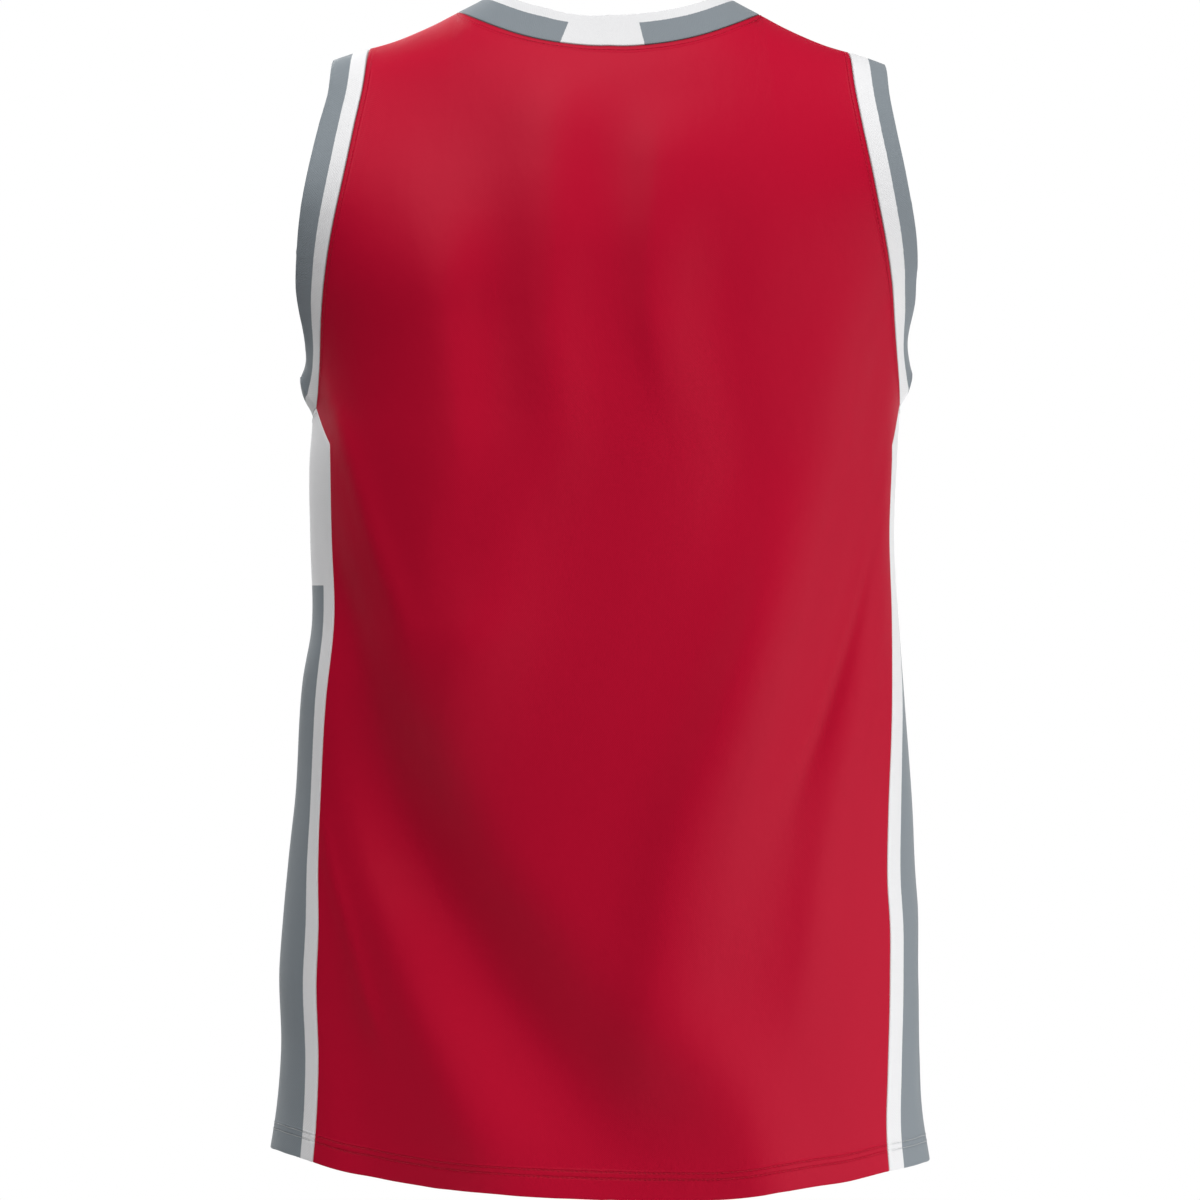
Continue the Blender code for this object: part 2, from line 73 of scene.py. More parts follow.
# The columns of a panel's top row at the neck, and the rows of its long edges at the armholes.
NECK_SPAN = np.s_[SHOULDER_COLUMNS:-SHOULDER_COLUMNS]
ARMHOLE_SPAN = np.s_[-ARMHOLE_ROWS - 1 :]
SIDE_PANEL_COLUMNS = 48
MITRE_STATIONS = 16
BAND_STEP = 0.0026
BAND_FINE_STEPS = 64
LINE_STEPS = 5
BAND_REACH = 0.03
FORM_ROUNDS = 6

# Stitch lines in from a band's seam and up from the hem, and the sizes of a stitch.
TOPSTITCH_IN = 0.0035
HEM_STITCH_RISES = (0.0130, 0.0170)
STITCH_ROWS = 12
HEM_STITCH_ROW = 4
LEAST_SLANT = 0.3
STITCH_PITCH = 0.0030
STITCH_LENGTH = 0.0025
STITCH_RISE = 0.00016
STITCH_LIFT = 0.00002
STITCH_CREST = 3.0
STITCH_STEPS = 5
THREAD = 0.00034
THREAD_SIDES = 6

# Widths and places of the white and grey stripes, and how soft and how uneven their edges are.
STRIPE_SOFTNESS = 0.0002
STRIPE_WOBBLE = 0.0005
STRIPE_WAVES = 700
FRONT_SIDE_STRIPE = 0.0130
GREY_BLOCK_TOP = -0.3935
ARMHOLE_WHITE = {"left": 0.0110, "right": 0.0127}
COLLAR_GREY = 0.0190
COLLAR_GAP = 0.0270
COLLAR_GAP_ASIDE = 0.0045

RED = (0.50, 0.0018, 0.027, 1)
# Red darkened for the painted shade along a band's seam.
RED_SEAM_PAINTED_SHADE = (0.16, 0.0006, 0.007, 1)
# White and grey yarn of the two-colour pieces.
KNIT_COLOURS = ((0.86, 0.86, 0.87, 1), (0.240, 0.272, 0.298, 1))
COLLAR_COLOURS = ((0.77, 0.77, 0.78, 1), (0.222, 0.252, 0.277, 1))
HOLE_COLOUR = (0.02, 0.02, 0.022, 1)
# Near black of the painted shade on a band along its seam.
BAND_SEAM_PAINTED_SHADE_COLOUR = (0.03, 0.03, 0.032, 1)
THREAD_GREY = (0.55, 0.56, 0.57, 1)
PALE = (0.90, 0.90, 0.90, 1)
# Reach and strength of the painted shade along a band's seam, a dark line on the panel and on the band.
PANEL_SEAM_PAINTED_SHADE = (0.0012, 0.35)
BAND_SEAM_PAINTED_SHADE = (0.0010, 0.45)
# Finish of each cloth: loops has their two pitches and their height in millimetres, and waves has the waves
# for each metre in both directions and their height in millimetres.
CLOTHS = {
    "red": dict(rough=0.56, sheen=0.01, gloss=0.10, loops=(0.0011, 0.0013, 0.045), waves=(90, 60, 0.25)),
    "side": dict(rough=0.62, sheen=0.15, gloss=0.20, loops=(0.0021, 0.0021, 0.10), waves=(90, 60, 0.20)),
    "rib": dict(rough=0.66, sheen=0.12, gloss=0.20, loops=(0.0018, 0.0018, 0.11), waves=(60, 60, 0.30)),
}
THREAD_FINISH = dict(rough=0.5, sheen=0.1, gloss=0.20)
FLOOR_FINISH = dict(rough=0.9, sheen=0.0, gloss=0.0)
SHEEN_ROUGHNESS = 0.4
HOLE_PITCH = 0.0021
HOLE_EDGE = (0.30, 0.02)
HOLE_DARKNESS = 0.10
# Relief along a seam and a hem: where the pressed layers end, the half widths of a stitch line and of its
# pucker, and the pucker's waves for each metre. layers, pucker_rise and STITCH_SINK are in millimetres.
SEAM_RELIEF = dict(
    layers_end=(0.0056, 0.0040),
    layers=0.30,
    line=0.0011,
    pucker=0.0075,
    pucker_waves=(520, 520),
    pucker_rise=0.20,
)
HEM_RELIEF = dict(
    layers_end=(0.0190, 0.0176),
    layers=0.32,
    line=0.0012,
    pucker=0.0130,
    pucker_waves=(300, 160),
    pucker_rise=0.36,
)
STITCH_SINK = 0.34
MILLIMETRE = 0.001
# Numbers of the colour sockets on a Mix node.
MIX_COLOUR_INPUTS = (6, 7)
MIX_COLOUR_OUTPUT = 2

FLOOR_Z = -1.25
FLOOR_RADIUS = 1.85
FLOOR_FADE_FROM = 1.10
FLOOR_CORNERS = 72
SKY_STRENGTH = 1.0
SOFT_STRENGTH = 0.07
LIGHTS_AIM = (0, 0, -0.40)
# Name, place, width and power of the soft lights.
LIGHTS = (
    ("right", (-2.39, 0.21, -0.35), 2.2, 24),
    ("upper_left", (0.77, 1.34, 1.44), 1.4, 29),
    ("top", (0.0, 0.62, 1.92), 1.6, 25),
    ("lower_right", (-1.60, 1.10, -0.85), 0.9, 12),
    ("front_side", (1.20, -1.85, 0.75), 1.3, 38),
    ("front_fill", (-1.00, -2.10, 0.10), 1.8, 14),
)
CAMERA_LENS = 76.5
CAMERA_SENSOR = 36
CAMERA_DISTANCE = 1.7
CAMERA_Z = -0.403


class Table:
    """Rows of named columns. The first is the place, and the others are read smoothly between rows."""

    def __init__(self, columns, *rows):
        self.columns = columns.split()
        self.values = np.array(rows, dtype=float)

    def read(self, column, place):
        at = self.values[:, 0]
        value = self.values[:, self.columns.index(column)]
        slope = np.gradient(value, at)
        place = np.clip(place, at[0], at[-1])
        row = np.clip(np.searchsorted(at, place) - 1, 0, len(at) - 2)
        span = at[row + 1] - at[row]
        u = (place - at[row]) / span
        start = value[row] * (2 * u**3 - 3 * u**2 + 1) + span * slope[row] * (u**3 - 2 * u**2 + u)
        end = value[row + 1] * (3 * u**2 - 2 * u**3) + span * slope[row + 1] * (u**3 - u**2)
        return start + end


# Cross sections of the body at a depth below the shoulder line. twist turns the section, in degrees, and
# tilt lifts its left side, in metres for each metre across.
SECTIONS = Table(
    "down half_width back front shift twist tilt",
    (0.000, 0.3400, 0.1290, 0.1250, -0.0060, 0.0, 0.008),
    (0.036, 0.3400, 0.1290, 0.1250, -0.0060, 0.0, 0.008),
    (0.070, 0.3200, 0.1290, 0.1250, -0.0058, 0.0, 0.005),
    (0.100, 0.2950, 0.1290, 0.1250, -0.0057, 0.0, 0.000),
    (0.130, 0.2700, 0.1290, 0.1250, -0.0065, 0.0, -0.004),
    (0.180, 0.2270, 0.1290, 0.1250, -0.0065, 0.0, -0.008),
    (0.225, 0.2040, 0.1290, 0.1260, -0.0058, 0.5, -0.011),
    (0.275, 0.1950, 0.1290, 0.1260, -0.0048, 3.2, -0.012),
    (0.310, 0.1951, 0.1285, 0.1250, -0.0025, 6.0, -0.010),
    (0.363, 0.1938, 0.1270, 0.1230, -0.0017, 5.7, -0.006),
    (0.414, 0.1946, 0.1250, 0.1210, -0.0038, 4.6, -0.002),
    (0.470, 0.1996, 0.1230, 0.1190, -0.0030, 2.6, 0.002),
    (0.540, 0.2044, 0.1210, 0.1180, -0.0034, -0.5, 0.006),
    (0.582, 0.2080, 0.1210, 0.1180, -0.0017, -0.1, 0.008),
    (0.612, 0.2110, 0.1215, 0.1185, -0.0010, 0.9, 0.010),
    (0.649, 0.2132, 0.1220, 0.1190, 0.0000, 1.0, 0.011),
    (0.704, 0.2128, 0.1240, 0.1200, -0.0007, 0.6, 0.014),
    (0.741, 0.2149, 0.1250, 0.1210, 0.0000, 0.4, 0.015),
    (0.775, 0.2200, 0.1255, 0.1215, 0.0000, 0.3, 0.016),
)
# How far the shoulder line falls, by the distance out from its middle.
SHOULDER = Table(
    "out drop",
    (0.0000, -0.0080),
    (0.0300, -0.0063),
    (0.0550, -0.0020),
    (0.0800, 0.0052),
    (0.1000, 0.0142),
    (0.1130, 0.0210),
    (0.1265, 0.0272),
    (0.1420, 0.0333),
    (0.1580, 0.0378),
    (0.1815, 0.0428),
    (0.2100, 0.0450),
)
ARMHOLE = Table(
    "down back_out front_out",
    (0.0378, 0.1580, 0.1580),
    (0.0700, 0.1580, 0.1520),
    (0.1000, 0.1615, 0.1490),
    (0.1400, 0.1680, 0.1510),
    (0.1800, 0.1765, 0.1600),
    (0.2200, 0.1832, 0.1740),
    (0.2500, 0.1872, 0.1850),
    (0.2755, 0.1915, 0.1915),
)
SIDE_SEAM = Table(
    "down angle",
    (0.3032, 69.2),
    (0.3800, 70.3),
    (0.4600, 67.4),
    (0.5400, 64.1),
    (0.6200, 60.8),
    (0.7000, 59.6),
    (0.7750, 57.6),
)
HEM = Table(
    "angle down",
    (-180.0, 0.7700),
    (-150.0, 0.7680),
    (-122.4, 0.7660),
    (-105.0, 0.7690),
    (-90.0, 0.7714),
    (-75.0, 0.7682),
    (-57.6, 0.7670),
    (-45.0, 0.7700),
    (-35.0, 0.7719),
    (-22.0, 0.7755),
    (-11.0, 0.7759),
    (0.0, 0.7751),
    (12.0, 0.7730),
    (24.0, 0.7704),
    (37.0, 0.7694),
    (45.0, 0.7684),
    (57.6, 0.7656),
    (66.0, 0.7650),
    (75.0, 0.7662),
    (90.0, 0.7704),
    (105.0, 0.7690),
    (122.4, 0.7660),
    (150.0, 0.7680),
    (180.0, 0.7700),
)
# Width of the white stripe along each side panel's seam with the back.
SIDE_STRIPE = Table(
    "down left right",
    (0.3935, 0.0120, 0.0240),
    (0.4550, 0.0120, 0.0235),
    (0.4950, 0.0120, 0.0180),
    (0.5400, 0.0122, 0.0162),
    (0.6500, 0.0120, 0.0152),
    (0.7750, 0.0120, 0.0152),
)
# How an armhole band leaves the plane of the panels: bulge is its lean just off the seam, which goes again
# towards the free edge, and the left or the right band's own lean grows all the way out. All in degrees.
BAND_SET = Table(
    "down bulge left right",
    (0.038, 0.0, -6.0, -6.0),
    (0.070, 0.0, -12.0, -14.0),
    (0.100, 0.0, -4.0, -14.0),
    (0.150, 0.0, 14.0, -8.0),
    (0.185, 0.0, 15.0, 2.0),
    (0.215, 0.0, 16.0, 6.0),
    (0.250, 0.0, 4.0, -10.0),
    (0.265, 14.0, -6.0, -10.0),
    (0.279, 34.0, -8.0, -12.0),
)
# Folds as troughs (negative height) and ridges along a curve from a through b to c, each given by its angle
# and its depth below the shoulder line. low and high are the reach to the side of smaller and of larger
# angles at the end c, and fan is their share of that at a.
FOLD_COLUMNS = "angle_a down_a angle_b down_b angle_c down_c low high fan height".split()
FOLDS = (
    # back: the long diagonal trough from the left underarm and the ridges beyond it
    (88.4, 0.262, 41.9, 0.532, -13.5, 0.805, 0.032, 0.046, 0.7, -0.0146),
    (80.6, 0.271, 28.5, 0.609, -18.1, 0.832, 0.038, 0.045, 0.5, -0.0076),
    (60.0, 0.403, 17.1, 0.608, -20.2, 0.812, 0.032, 0.044, 0.4, -0.0050),
    (56.7, 0.492, 29.9, 0.673, 14.4, 0.771, 0.033, 0.022, 0.9, 0.0067),
    (61.0, 0.535, 40.7, 0.765, 31.0, 0.870, 0.042, 0.028, 1.2, -0.0103),
    # back: shoulder blade lobes and the hollows between them
    (29.1, 0.072, 34.3, 0.314, 30.8, 0.572, 0.042, 0.106, 1.3, 0.0290),
    (11.0, 0.135, 27.8, 0.308, 31.3, 0.438, 0.021, 0.019, 0.9, -0.0064),
    (6.9, 0.046, 9.4, 0.169, 16.2, 0.375, 0.018, 0.020, 1.1, 0.0088),
    (0.0, 0.131, 1.4, 0.230, 1.3, 0.356, 0.026, 0.027, 1.1, 0.0018),
    (-6.4, 0.078, -6.8, 0.179, -7.5, 0.310, 0.020, 0.011, 1.2, 0.0058),
    (-13.8, 0.140, -19.3, 0.258, -15.6, 0.405, 0.020, 0.021, 0.9, -0.0027),
    # back: softer diagonals from the right underarm
    (-63.0, 0.163, -37.9, 0.355, -13.9, 0.669, 0.023, 0.044, 0.9, 0.0117),
    (-66.3, 0.272, -50.5, 0.399, -33.1, 0.532, 0.012, 0.012, 0.7, -0.0021),
    (-66.4, 0.330, -48.1, 0.430, -31.4, 0.571, 0.011, 0.012, 0.7, -0.0036),
    (-64.9, 0.392, -46.4, 0.529, -31.7, 0.714, 0.017, 0.017, 0.8, 0.0038),
    (-35.7, 0.296, -13.6, 0.552, -6.6, 0.738, 0.032, 0.020, 1.0, 0.0088),
    (-2.0, 0.637, -25.8, 0.730, -24.0, 0.822, 0.026, 0.022, 1.2, 0.0059),
    # back: thin ridges near the left side
    (67.6, 0.514, 50.0, 0.620, 40.6, 0.702, 0.007, 0.008, 1.0, 0.0026),
    (75.8, 0.232, 55.7, 0.345, 38.3, 0.463, 0.011, 0.009, 1.2, 0.0044),
    # front: chest lobes, drags from both underarms with a ridge below each, and waves towards the hem
    (151, 0.150, 148, 0.290, 153, 0.450, 0.040, 0.048, 1.1, 0.0120),
    (-147, 0.130, -151, 0.270, -155, 0.410, 0.046, 0.036, 1.0, 0.0100),
    (108, 0.320, 136, 0.460, 180, 0.610, 0.024, 0.034, 0.7, -0.0090),
    (116, 0.420, 144, 0.550, 184, 0.710, 0.030, 0.022, 0.8, 0.0075),
    (-112, 0.310, -134, 0.410, -164, 0.570, 0.028, 0.022, 0.7, -0.0075),
    (-118, 0.400, -142, 0.520, -166, 0.690, 0.018, 0.024, 0.8, 0.0060),
    (168, 0.560, 159, 0.680, 154, 0.830, 0.024, 0.026, 1.1, -0.0075),
    (154, 0.600, 146, 0.710, 142, 0.840, 0.020, 0.016, 1.2, 0.0070),
    (142, 0.540, 133, 0.660, 126, 0.820, 0.022, 0.020, 1.1, -0.0065),
    (-174, 0.580, -167, 0.700, -162, 0.830, 0.022, 0.020, 1.1, -0.0060),
    (-156, 0.640, -149, 0.740, -144, 0.850, 0.016, 0.020, 1.1, 0.0060),
    (-142, 0.560, -134, 0.670, -125, 0.820, 0.020, 0.024, 1.0, -0.0065),
    # front: thin creases near the underarms
    (101, 0.330, 116, 0.385, 138, 0.420, 0.008, 0.010, 1.1, 0.0030),
    (-103, 0.345, -117, 0.410, -132, 0.470, 0.009, 0.008, 1.1, 0.0032),
    # sides
    (104, 0.400, 108, 0.520, 112, 0.720, 0.022, 0.022, 1, -0.0150),
    (84, 0.420, 86, 0.500, 88, 0.640, 0.024, 0.024, 1, 0.0120),
    (-92, 0.340, -98, 0.440, -104, 0.560, 0.022, 0.022, 1, -0.0140),
    (-88, 0.600, -84, 0.680, -80, 0.770, 0.018, 0.018, 1, -0.0100),
)
FOLD_ARC = 0.170
FOLD_STEPS = 16
FOLD_TAPER = 0.3
FOLD_SIDEWAYS = 0.15
STEP_ANGLE = 0.2
STEP_RUN = 0.0006


def smooth_step(u):
    u = np.clip(u, 0, 1)
    return u * u * (3 - 2 * u)


def unit(vectors):
    return vectors / np.maximum(np.linalg.norm(vectors, axis=-1, keepdims=True), 1e-12)


def lengths(points, axis=0):
    """Length of cloth from the start of each line of points along an axis."""
    step = np.linalg.norm(np.diff(points, axis=axis), axis=-1)
    return np.cumsum(np.insert(step, 0, 0, axis=axis), axis=axis)


def ring(values):
    """Values round a closed line, with the first one again at the end."""
    return np.concatenate([values, values[:1]])


def run_at(down, out):
    """Run of cloth from the shoulder line to a depth, at a distance out from the middle."""
    fall = np.maximum(down - SHOULDER.read("drop", out), 0)
    turn = np.arccos(np.clip(1 - fall / SHOULDER_ROUND, 0, 1))
    return SHOULDER_ROUND * turn + np.maximum(fall - SHOULDER_ROUND, 0)


def form(angle, run):
    """Smooth body form, without folds: points at the addresses given."""
    turn = np.minimum(run / SHOULDER_ROUND, np.pi / 2)
    fall = SHOULDER_ROUND * (1 - np.cos(turn)) + np.maximum(run - SHOULDER_ROUND * np.pi / 2, 0)
    middle = SECTIONS.read("shift", 0.0)
    down = fall
    for _ in range(FORM_ROUNDS):
        around = np.radians(angle - SECTIONS.read("twist", down))
        x = SECTIONS.read("shift", down) + SECTIONS.read("half_width", down) * np.sin(around)
        down = fall + SHOULDER.read("drop", np.abs(x - middle))
    facing = np.cos(around)
    depth = np.where(facing > 0, SECTIONS.read("back", down), SECTIONS.read("front", down))
    return np.stack([x, depth * facing * np.sin(turn), SECTIONS.read("tilt", down) * x - down], axis=-1)


def facing_out(surface, angle, run):
    """Unit normals of a surface at the addresses given, pointing out of the body."""
    across = surface(angle + STEP_ANGLE, run) - surface(angle - STEP_ANGLE, run)
    along = surface(angle, run + STEP_RUN) - surface(angle, run - STEP_RUN)
    return unit(np.cross(across, along))


def fold_height(angle, down):
    """Height of all folds over the smooth form."""
    total = np.zeros(np.shape(angle))
    u = np.linspace(0, 1, FOLD_STEPS + 1)
    for row in FOLDS:
        fold = dict(zip(FOLD_COLUMNS, row))
        path = []
        for kind in ("angle_", "down_"):
            a, b, c = (fold[kind + end] for end in "abc")
            path.append((1 - u) ** 2 * a + 2 * u * (1 - u) * (2 * b - (a + c) / 2) + u**2 * c)
        nearest = np.full(np.shape(angle), np.inf)
        place = np.zeros(np.shape(angle))
        side = np.zeros(np.shape(angle))
        for k in range(FOLD_STEPS):
            across = np.radians((angle - path[0][k] + 180) % 360 - 180) * FOLD_ARC
            below = down - path[1][k]
            leg_across = np.radians(path[0][k + 1] - path[0][k]) * FOLD_ARC
            leg_below = path[1][k + 1] - path[1][k]
            share = (across * leg_across + below * leg_below) / (leg_across**2 + leg_below**2)
            share = np.clip(share, 0, 1)
            distance = np.hypot(across - share * leg_across, below - share * leg_below)
            closer = distance < nearest
            nearest = np.where(closer, distance, nearest)
            place = np.where(closer, (k + share) / FOLD_STEPS, place)
            side = np.where(closer, leg_across * below - leg_below * across, side)
        reach = np.where(side > 0, fold["low"], fold["high"]) * (fold["fan"] + (1 - fold["fan"]) * place)
        taper = smooth_step(np.minimum(place, 1 - place) / FOLD_TAPER)
        total += fold["height"] * taper * np.exp(-((nearest / reach) ** 2))
    return total


def cloth(angle, run):
    """Outer face of the cloth, folds included."""
    point = form(angle, run)
    height = fold_height(angle, -point[..., 2])
    return point + height[..., None] * facing_out(form, angle, run) * (FOLD_SIDEWAYS, 1, 1)


def hem_run(angle):
    """Run from the shoulder line to the hem."""
    down = HEM.read("down", (angle + 180) % 360 - 180)
    out = np.abs(SECTIONS.read("half_width", down) * np.sin(np.radians(angle)))
    return run_at(down, out)


def address(down, out):
    """Address of a point at a depth and a distance out: its angle from the centre line and its run."""
    return np.degrees(np.arcsin(out / SECTIONS.read("half_width", down))), run_at(down, out)


def panel_edge(armhole_column):
    """A panel's long edge, from the hem to the shoulder tip: angle, and run as a share of the hem's run."""
    side = np.linspace(SIDE_SEAM_HEM_DOWN, KINK_DOWN, SIDE_ROWS + 1)
    side_angle = SIDE_SEAM.read("angle", side)
    side_run = run_at(side, SECTIONS.read("half_width", side) * np.sin(np.radians(side_angle)))
    tip = ARMHOLE.values[0, 0]
    up = np.linspace(0, 1, ARMHOLE_ROWS + 1) ** ARMHOLE_ROW_POWER
    armhole = UNDERARM_CORNER_DOWN + (tip - UNDERARM_CORNER_DOWN) * up
    armhole_angle, armhole_run = address(armhole, ARMHOLE.read(armhole_column, armhole))
    armhole_run[-1] = 0
    roof = np.linspace(0, 1, ROOF_ROWS + 1)[1:-1]
    roof_angle = side_angle[-1] + roof * (armhole_angle[0] - side_angle[-1])
    roof_run = side_run[-1] + roof * (armhole_run[0] - side_run[-1])
    run = np.concatenate([side_run, roof_run, armhole_run])
    return np.concatenate([side_angle, roof_angle, armhole_angle]), run / run[0]


def back_neck():
    """Distance out and run of the back neck seam, from the centre to the shoulder line."""
    swing = np.linspace(0, np.pi / 2, NECK_COLUMNS + 1)
    power = 2 / BACK_NECK_SQUARENESS
    out = NECK_HALF_WIDTH * np.sin(swing) ** power
    return out, BACK_NECK_RUN * np.maximum(np.cos(swing), 0) ** power


def front_neck():
    """The same for the front, a V with slightly bowed legs."""
    share = np.linspace(0, 1, NECK_COLUMNS + 1)
    return NECK_HALF_WIDTH * share, FRONT_NECK_RUN * (1 - share) ** FRONT_NECK_BOW


def panel_addresses(edge, neck):
    """Angles of a whole panel, each row's share of the hem's run, and the run that the neck adds.

    Rows go from the hem up, and columns from the wearer's right to the left.
    """
    edge_angle, edge_share = edge
    out, neck_run = neck
    top_width = SECTIONS.read("half_width", ARMHOLE.values[0, 0])
    neck_angle = np.degrees(np.arcsin(out / top_width))
    shoulder_angle = np.linspace(neck_angle[-1], edge_angle[-1], SHOULDER_COLUMNS + 1)[1:]
    top = np.concatenate([neck_angle, shoulder_angle]) / edge_angle[-1]
    top_run = np.concatenate([neck_run, np.zeros(SHOULDER_COLUMNS)])
    even = np.linspace(0, 1, len(top))
    top = np.concatenate([-top[:0:-1], top])
    even = np.concatenate([-even[:0:-1], even])
    top_run = np.concatenate([top_run[:0:-1], top_run])
    share = edge_share[:, None]
    gathered = (1 - share) ** 2
    width = edge_angle[:, None]
    body = np.minimum(width, SIDE_SEAM.values[0, 1])
    flare = (width - body) * even * np.abs(even) ** EDGE_COLUMN_POWER
    return body * (even * (1 - gathered) + top * gathered) + flare, share, top_run * gathered


def borders_out(border, inside, normals):
    """Unit directions across a border, in the plane of the cloth and away from the piece."""
    legs = unit(np.diff(border, axis=0))
    before = np.concatenate([legs[:1], legs])
    after = np.concatenate([legs, legs[-1:]])
    out = unit(np.cross(normals, before + after))
    return out * np.sign(np.sum(out * (border - inside), axis=-1, keepdims=True))


def turned_in(border, out, normals):
    """A seam edge's lines of points: rolled in on a quarter circle, then on as a seam allowance."""
    start = border - (ROLL + SEAM_GAP / 2) * out
    lines = []
    for swing in np.linspace(0, np.pi / 2, ARC_STEPS + 1):
        lines.append(start + ROLL * (np.sin(swing) * out - (1 - np.cos(swing)) * normals))
    for depth in FIN_DEPTHS:
        lines.append(start + ROLL * out - (ROLL + depth) * normals)
    return lines


def sewn_panel(name, points, normals, material, marks):
    """Thin shell over a panel's grid, with the hem turned up inside and the seam edges turned in."""
    rows, columns = points.shape[:2]
    arcs = 2 * ARC_STEPS + 1
    turned = HEM_INNER_ROWS + arcs
    below = unit(points[0] - points[1])
    swing = np.linspace(np.pi, 0, arcs)[:, None, None]
    round_rows = points[0] - HEM_ROLL * below
    round_rows = round_rows + HEM_ROLL * (np.sin(swing) * below - (1 - np.cos(swing)) * normals[0])
    inner_rows = slice(HEM_INNER_ROWS, 0, -1)
    hem_rows = points[inner_rows] - 2 * HEM_ROLL * normals[inner_rows]
    grid = np.concatenate([hem_rows, round_rows, points[1:]])
    row_from = np.concatenate([np.arange(HEM_INNER_ROWS, 0, -1), np.zeros(arcs, int), np.arange(1, rows)])
    right = borders_out(points[:, 0], points[:, 1], normals[:, 0])[row_from]
    left = borders_out(points[:, -1], points[:, -2], normals[:, -1])[row_from]
    top = borders_out(points[-1], points[-2], normals[-1])
    right_lines = turned_in(grid[:, 0], right, normals[row_from, 0])[::-1]
    left_lines = turned_in(grid[:, -1], left, normals[row_from, -1])
    extra = len(left_lines) - 1
    grid = np.concatenate(
        [np.stack(right_lines, axis=1), grid[:, 1:-1], np.stack(left_lines, axis=1)], axis=1
    )
    column_from = np.clip(np.arange(-extra, columns + extra), 0, columns - 1)
    top_lines = turned_in(grid[-1], top[column_from], normals[-1][column_from])
    grid = np.concatenate([grid[:-1], np.stack(top_lines)])
    row_from = np.concatenate([row_from, np.full(extra, rows - 1)])

    fins = len(FIN_DEPTHS)
    row_cell = np.arange(len(grid) - 1)
    column_cell = np.arange(grid.shape[1] - 1)
    row_fin = row_cell >= len(grid) - 1 - fins
    row_plain = (row_cell >= turned) & (row_cell < len(grid) - 1 - extra)
    row_hem = row_cell < turned - ARC_STEPS
    column_fin = (column_cell < fins) | (column_cell >= grid.shape[1] - 1 - fins)
    column_plain = (column_cell >= extra) & (column_cell < grid.shape[1] - 1 - extra)
    keep = row_plain[:, None] | column_plain[None, :] | ~(row_fin | row_hem)[:, None] & ~column_fin[None, :]

    across = lengths(grid, 1)
    across -= across[:, grid.shape[1] // 2][:, None]
    uv = np.stack([across, lengths(grid)], axis=-1)
    values = {mark: value[row_from][:, column_from] for mark, value in marks.items()}
    outward = np.sum(np.cross(points[0, 1] - points[0, 0], points[1, 0] - points[0, 0]) * normals[0, 0]) > 0
    return shell(name, grid, keep, KNIT, uv, values, outward, material)


def shell(name, grid, keep, thickness, uv, marks, outward, material, closed=False):
    """Mesh over the kept cells of a grid: a closed thin shell, or, if closed, a ring of closed sections."""
    rows, columns = grid.shape[:2]
    count = rows * columns
    index = np.arange(count).reshape(rows, columns)
    if closed:
        index[-1] = index[0]
        index[:, -1] = index[:, 0]
    corners = (np.s_[:-1, :-1], np.s_[:-1, 1:], np.s_[1:, 1:], np.s_[1:, :-1])
    if not outward:
        corners = corners[::-1]
    cells = np.stack([index[corner] for corner in corners], axis=-1)[keep]
    cell_uv = np.stack([uv[corner] for corner in corners], axis=-2)[keep]
    points = grid.reshape(-1, 3)
    if not closed:
        facing = np.cross(np.gradient(grid, axis=1), np.gradient(grid, axis=0)) * (1 if outward else -1)
        start = cells.ravel()
        end = np.roll(cells, -1, axis=1).ravel()
        rim = ~np.isin(start * count + end, end * count + start)
        start, end = start[rim], end[rim]
        points = np.concatenate([points, points - thickness * unit(facing).reshape(-1, 3)])
        walls = np.stack([end, start, start + count, end + count], axis=-1)
        flat_uv = uv.reshape(-1, 2)
        wall_uv = np.stack([flat_uv[end], flat_uv[start], flat_uv[start], flat_uv[end]], axis=1)
        cells = np.concatenate([cells, cells[:, ::-1] + count, walls])
        cell_uv = np.concatenate([cell_uv, cell_uv[:, ::-1], wall_uv])
    used, cells = np.unique(cells, return_inverse=True)
    cells = cells.reshape(-1, 4)
    mesh = bpy.data.meshes.new(name)
    mesh.from_pydata(points[used].tolist(), [], cells.tolist())
    layer = mesh.uv_layers.new(name="UVMap")
    layer.data.foreach_set("uv", cell_uv.reshape(-1))
    for mark, value in marks.items():
        attribute = mesh.attributes.new(mark, "FLOAT", "POINT")
        attribute.data.foreach_set("value", np.ascontiguousarray(value).reshape(-1)[used % count])
    mesh.shade_smooth()
    mesh.set_sharp_from_angle(angle=np.radians(SHARP_ANGLE))
    mesh.materials.append(material)
    piece = bpy.data.objects.new(name, mesh)
    bpy.context.collection.objects.link(piece)
    return piece


def to_line(points, line):
    """Distance from each grid point to a seam line, held at BAND_REACH where it is further."""
    shares = np.linspace(0, 1, LINE_STEPS + 1)[:-1]
    fine = np.concatenate([line[:-1] + share * np.diff(line, axis=0) for share in shares])
    nearest = np.full(points.shape[:2], BAND_REACH)
    for i, row in enumerate(points):
        low = row.min(axis=0) - BAND_REACH
        high = row.max(axis=0) + BAND_REACH
        close = fine[np.all((fine > low) & (fine < high), axis=1)]
        if len(close):
            gap = np.linalg.norm(row[:, None] - close[None], axis=-1).min(axis=1)
            nearest[i] = np.minimum(gap, BAND_REACH)
    return nearest


def panel_grid(edge, neck, front):
    angle, share, neck_run = panel_addresses(edge, neck)
    if front:
        angle = 180 - angle
    run = neck_run + hem_run(angle[0]) * share
    return cloth(angle, run), facing_out(cloth, angle, run)


